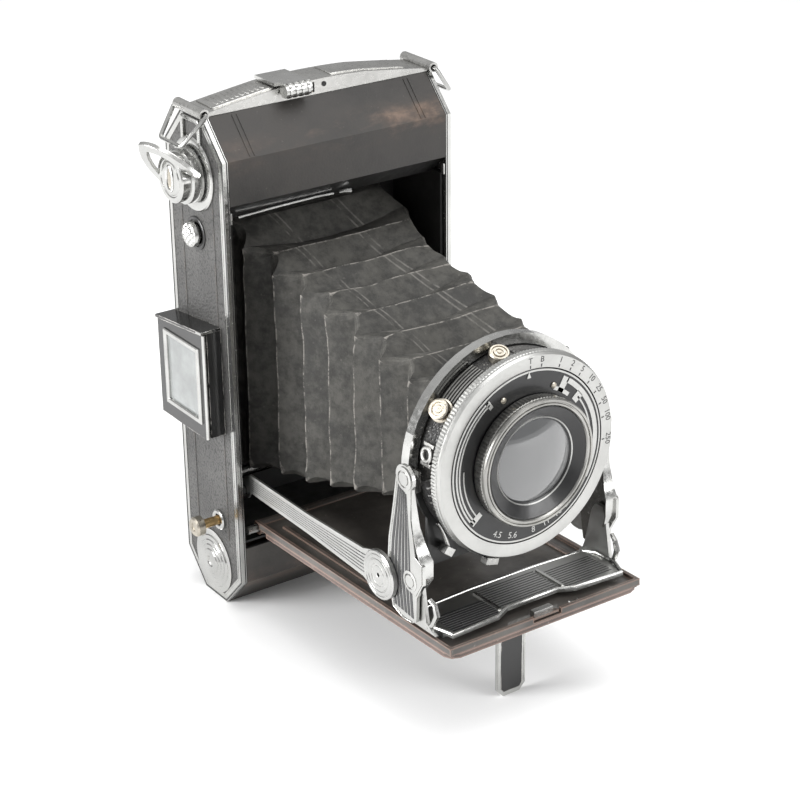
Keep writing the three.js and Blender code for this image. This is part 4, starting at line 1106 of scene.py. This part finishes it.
def add_shutter():
    drum = turned([(18, -98.0), (DRUM_RADIUS, -98.0), (DRUM_RADIUS, -106.2), (28.9, -106.45), (25.2, -106.45),
                   (25.2, -107.9), (18, -107.9)], "y", (0, LENS_Z), 128)
    piece("shutter_drum", drum, "crackle", "standard", ["shutter_case"], smooth=25)
    ribs = []
    for i in range(6):
        y = -105.7 + i * 1.15
        ribs.append(rim_band(29.2, 30.0, -0.82, -0.4, y, y + 0.5))
    piece("shutter_ribs", merged(*ribs), "nickel", "standard", smooth=20)
    pads = [rim_band(29.2, 29.55, -1.28, -1.0, -105.4, -99.2),
            rim_band(29.2, 29.55, 0.0, 0.9, -105.6, -99.2)]
    piece("shutter_pads", merged(*pads), "crackle", "standard", edge=0.1)
    ticks = []
    for i in range(5):
        angle = -1.62 - 0.085 * i
        tick = block((-0.22, 0.22), (-1.6, 1.6), (-0.1, 0.25))
        tick = moved(tick, Matrix.Rotation(0.45, 4, "Z"))
        ticks.append(on_rim(tick, angle, DRUM_RADIUS, -103.2))
    piece("shutter_rim_marks", merged(*ticks), "nickel", "standard")

    screw = rim_disc([(3.0, -1.2), (3.0, 0.9), (2.7, 1.25), (2.25, 1.25), (2.1, 0.9), (1.8, 0.9),
                      (1.65, 1.35), (1.1, 1.35), (0.95, 1.0), (0.6, 1.0), (0.45, 1.3), (0, 1.3)])
    piece("shutter_screw", on_rim(screw, -0.16, 30.4, -102.6, 0.4), "aged", "standard", smooth=20)
    knob = rim_disc([(3.4, -1.2), (3.4, 0.6), (3.0, 0.9), (2.2, 0.9), (2.2, 1.7), (2.9, 1.9), (2.9, 2.9),
                     (2.5, 3.1), (2.0, 3.1), (1.8, 2.7), (1.2, 2.7), (1.0, 3.0), (0, 3.0)])
    teeth = [block((-3.4 + 1.1 * i, -2.9 + 1.1 * i), (-4.6, -3.2), (-0.1, 1.0)) for i in range(7)]
    piece("shutter_knob", on_rim(merged(knob, *teeth), -0.93, 30.4, -102.6, 0.4), "aged", "standard",
          smooth=20)
    socket = turned([(1.3, -0.3), (2.6, -0.3), (2.6, 1.3), (2.2, 1.6), (1.6, 1.6), (1.3, 1.3)], "z", (0, 0),
                    40)
    shackle = [block((-3.4, -2.3), (-2.3, 2.3), (-0.2, 1.0)), block((2.3, 3.4), (-2.3, 2.3), (-0.2, 1.0))]
    piece("release_socket", on_rim(merged(socket, *shackle), -1.36, 29.4, -102.8), "nickel", "standard",
          edge=0.1)
    # A near-black disc of painted shade stands for the shade inside the socket's hole.
    hole = rim_disc([(1.35, 0.2), (1.35, 0.5), (0, 0.5)])
    piece("release_socket_hole", on_rim(hole, -1.36, 29.4, -102.8), "hole_shade", "standard")


def add_speed_ring():
    teeth = 180

    def serrate(index, angle):
        return -0.22 * (0.5 + 0.5 * math.cos(teeth * angle)) if index in (1, 2) else 0

    profile = [(26.6, -106.7), (31.35, -106.7), (31.35, -108.5), (31.0, -108.8), (31.0, -109.3),
               (30.5, -110.05), (30.2, -110.1), (27.1, -110.1), (26.7, -110.0), (26.6, -109.6)]
    ring = turned(profile, "y", (0, LENS_Z), teeth * 4, serrate)
    piece("speed_ring_fine", ring, "ring", "speed_dial", ["speed_ring"], smooth=30)
    marks = [("T", 0.015), ("B", 0.158), ("1", 0.398), ("2", 0.563), ("5", 0.715), ("10", 0.885),
             ("25", 1.05), ("50", 1.215), ("100", 1.39), ("250", 1.65)]
    shapes = []
    for text, angle in marks:
        shapes.append(dial_text(text, 2.5, 29.2, angle, -110.12))
        shapes.append(ring_part(27.0, 27.9, angle - 0.006, angle + 0.006, -110.16, -110.0))
    piece("speed_numbers", merged(*shapes), "stripe", "speed_dial")


# Silver strips on the black face: (inner radius, outer radius, start angle, end angle).
LEFT_BRACKET = [
    (24.55, 25.1, -0.6, -2.26), (23.6, 24.1, -0.6, -2.26), (22.2, 22.6, -1.5, -2.2),
    (21.0, 25.1, -2.2, -2.28), (22.4, 25.1, -0.58, -0.64),
]
RIGHT_BRACKET = [
    (23.6, 25.1, 0.6, 2.1), (20.4, 25.1, 0.52, 0.62), (22.2, 22.7, 0.9, 1.9), (20.4, 21.6, 0.44, 0.74),
    (20.8, 23.8, 0.84, 0.95),
]


def add_face():
    plate = turned([(18, -108.2), (26.4, -108.2), (26.4, -109.75), (26.2, FACE_FRONT), (18, FACE_FRONT)], "y",
                   (0, LENS_Z), 128)
    piece("face_plate", plate, "face", "standard", ["shutter_face_plate"], smooth=25)
    silver = [ring_part(25.75, 26.25, 0, TAU * 0.9999, -109.98, -109.8, 0.03)]
    front, back = -110.02, -109.8
    for low, high, start, end in LEFT_BRACKET + RIGHT_BRACKET:
        silver.append(ring_part(low, high, start, end, front, back))
    silver.append(prism([(-0.7, LENS_Z + 24.2), (0.7, LENS_Z + 24.2), (0, LENS_Z + 26.0)], "y", -110.1, back))
    piece("face_lines", merged(*silver), "ring", "standard")
    numbers = []
    stops = (("4.5", -2.69), ("5.6", -2.93), ("8", 3.04), ("11", 2.84), ("16", 2.65), ("22", 2.48),
             ("32", 2.32))
    for text, angle in stops:
        numbers.append(dial_text(text, 2.7, 24.0, angle, -109.9, upright=True))
    piece("aperture_numbers", merged(*numbers), "ring", "standard")
    screws = []
    for angle in (-0.42, 0.42):
        head = rim_disc([(0.9, 0), (0.9, 0.3), (0.5, 0.5), (0, 0.5)], 20)
        place = Matrix.Translation(ring_point(21.6, angle, FACE_FRONT))
        screws.append(moved(head, place @ Matrix.Rotation(math.pi / 2, 4, "X")))
    piece("face_screws", merged(*screws), "aged", "standard")


def add_lens():
    teeth = 110

    def knurl(index, angle):
        return -0.3 * (0.5 + 0.5 * math.cos(teeth * angle)) if index in (4, 5) else 0

    mount = turned([(15.6, -107.8), (17.7, -107.8), (17.7, -110.3), (19.0, -110.3), (19.35, -110.9),
                    (19.35, -113.5), (19.0, -113.7), (19.0, -114.3), (19.4, -114.6), (19.3, -115.2),
                    (19.0, -115.5), (18.5, -115.5), (18.35, -115.1), (18.1, -115.1), (17.95, -115.45),
                    (17.45, -115.45), (17.2, -115.0), (15.8, -113.0)], "y", (0, LENS_Z), teeth * 4, knurl)
    piece("lens_mount", mount, "dull_ring", "focus", ["focusing_ring"], smooth=30)
    bevel = turned([(16.95, -115.05), (17.2, -114.6), (15.5, -111.6), (12.9, -112.2), (12.6, -112.9),
                    (13.0, -113.2), (16.7, -115.1)], "y", (0, LENS_Z), 96)
    piece("lens_bevel", bevel, "face", "focus", smooth=25)
    thin = turned([(13.0, -113.35), (13.3, -113.6), (13.45, -113.4), (13.2, -113.1)], "y", (0, LENS_Z), 96)
    piece("lens_retaining_edge", thin, "ring", "focus")

    steps, reach, sag = 14, 13.0, 2.4
    profile = []
    for i in range(steps + 1):
        radius = reach * (1 - i / steps)
        profile.append((radius, -112.6 - sag * (1 - (radius / reach) ** 2)))
    glass = dished([(13.0, -110.5)] + profile, "y", (0, LENS_Z), 96)
    piece("front_glass", glass, "lens", "focus", ["front_lens"], smooth=50)


def rim_lever(angle, arm, knob):
    """Arm and knob of a lever on the rim; each is (half width, half depth, low, high)."""
    blocks = [block((-half, half), (-deep, deep), (low, high)) for half, deep, low, high in (arm, knob)]
    return on_rim(merged(*blocks), angle, DRUM_RADIUS, -104.2)


def add_levers():
    steps = 14
    path = []
    for i in range(steps + 1):
        t = i / steps
        path.append(ring_point(30.2 + 3.4 * t * t, -2.16 - 0.3 * t, -101.4 + 0.2 * t))
    release = tube(path, 0.6, 8)
    tip = on_rim(block((-1.7, 1.7), (-1.6, 1.6), (3.8, 6.4)), -2.47, DRUM_RADIUS, -100.6)
    piece("release_lever_fine", merged(release, tip), "chrome", "release", ["release_lever"], edge=0.15)
    cocking = rim_lever(-2.88, (1.5, 0.6, 0.4, 4.2), (2.3, 1.5, 3.4, 5.8))
    piece("cocking_lever_fine", cocking, "nickel", "cocking", ["cocking_lever"], edge=0.3)
    aperture = rim_lever(2.7, (1.2, 0.6, 0.4, 3.6), (1.9, 1.3, 3.0, 5.3))
    piece("aperture_lever_fine", aperture, "nickel", "aperture", ["aperture_lever"], edge=0.3)


# ---- back -----------------------------------------------------------------------------------------------

def add_back():
    ring = turned([(5.1, 17.0), (7.9, 17.0), (7.9, 17.3), (7.5, 17.45), (5.1, 17.45)], "y", (0, 48), 64)
    piece("window_frame", ring, "nickel", "back")
    ridges = [block((-5.4, 5.4), (17.65, 17.85), (z, z + 0.6)) for z in (43.4, 45.0, 46.6)]
    piece("window_cover_ridges", merged(*ridges), "nickel", "window_slide", edge=0.08)
    seams = [block((x, x + 0.5), (16.9, 17.08), (24, 147)) for x in (-36.2, 35.7)]
    piece("back_seams", merged(*seams), "leather", "back")
    thread = []
    for k in range(3):
        x = 40.6 + 0.25 * k
        thread.append(turned([(2.65, x), (3.1, x - 0.05), (3.1, x + 0.15)], "x", (0, 40), 40))
    piece("tripod_thread", merged(*thread), "nickel", "body")


# ---- everything -------------------------------------------------------------------------------------------

def dress_frame():
    for look, nodes in KEPT.items():
        for node in nodes:
            dress(node, look)
    for node in ("left_leg", "right_leg", "standard_arch", "foot"):
        dress(node, "chrome", 0.15)
    for node in ("left_strut", "right_strut", "standard_crossplate"):
        dress(node, "ring", 0.15)


add_camera()
add_studio()
dress_frame()
add_casing()
add_bellows()
add_top()
add_key()
add_side_controls()
add_finder()
add_bed()
add_struts()
add_legs()
add_shutter()
add_speed_ring()
add_face()
add_lens()
add_levers()
add_back()
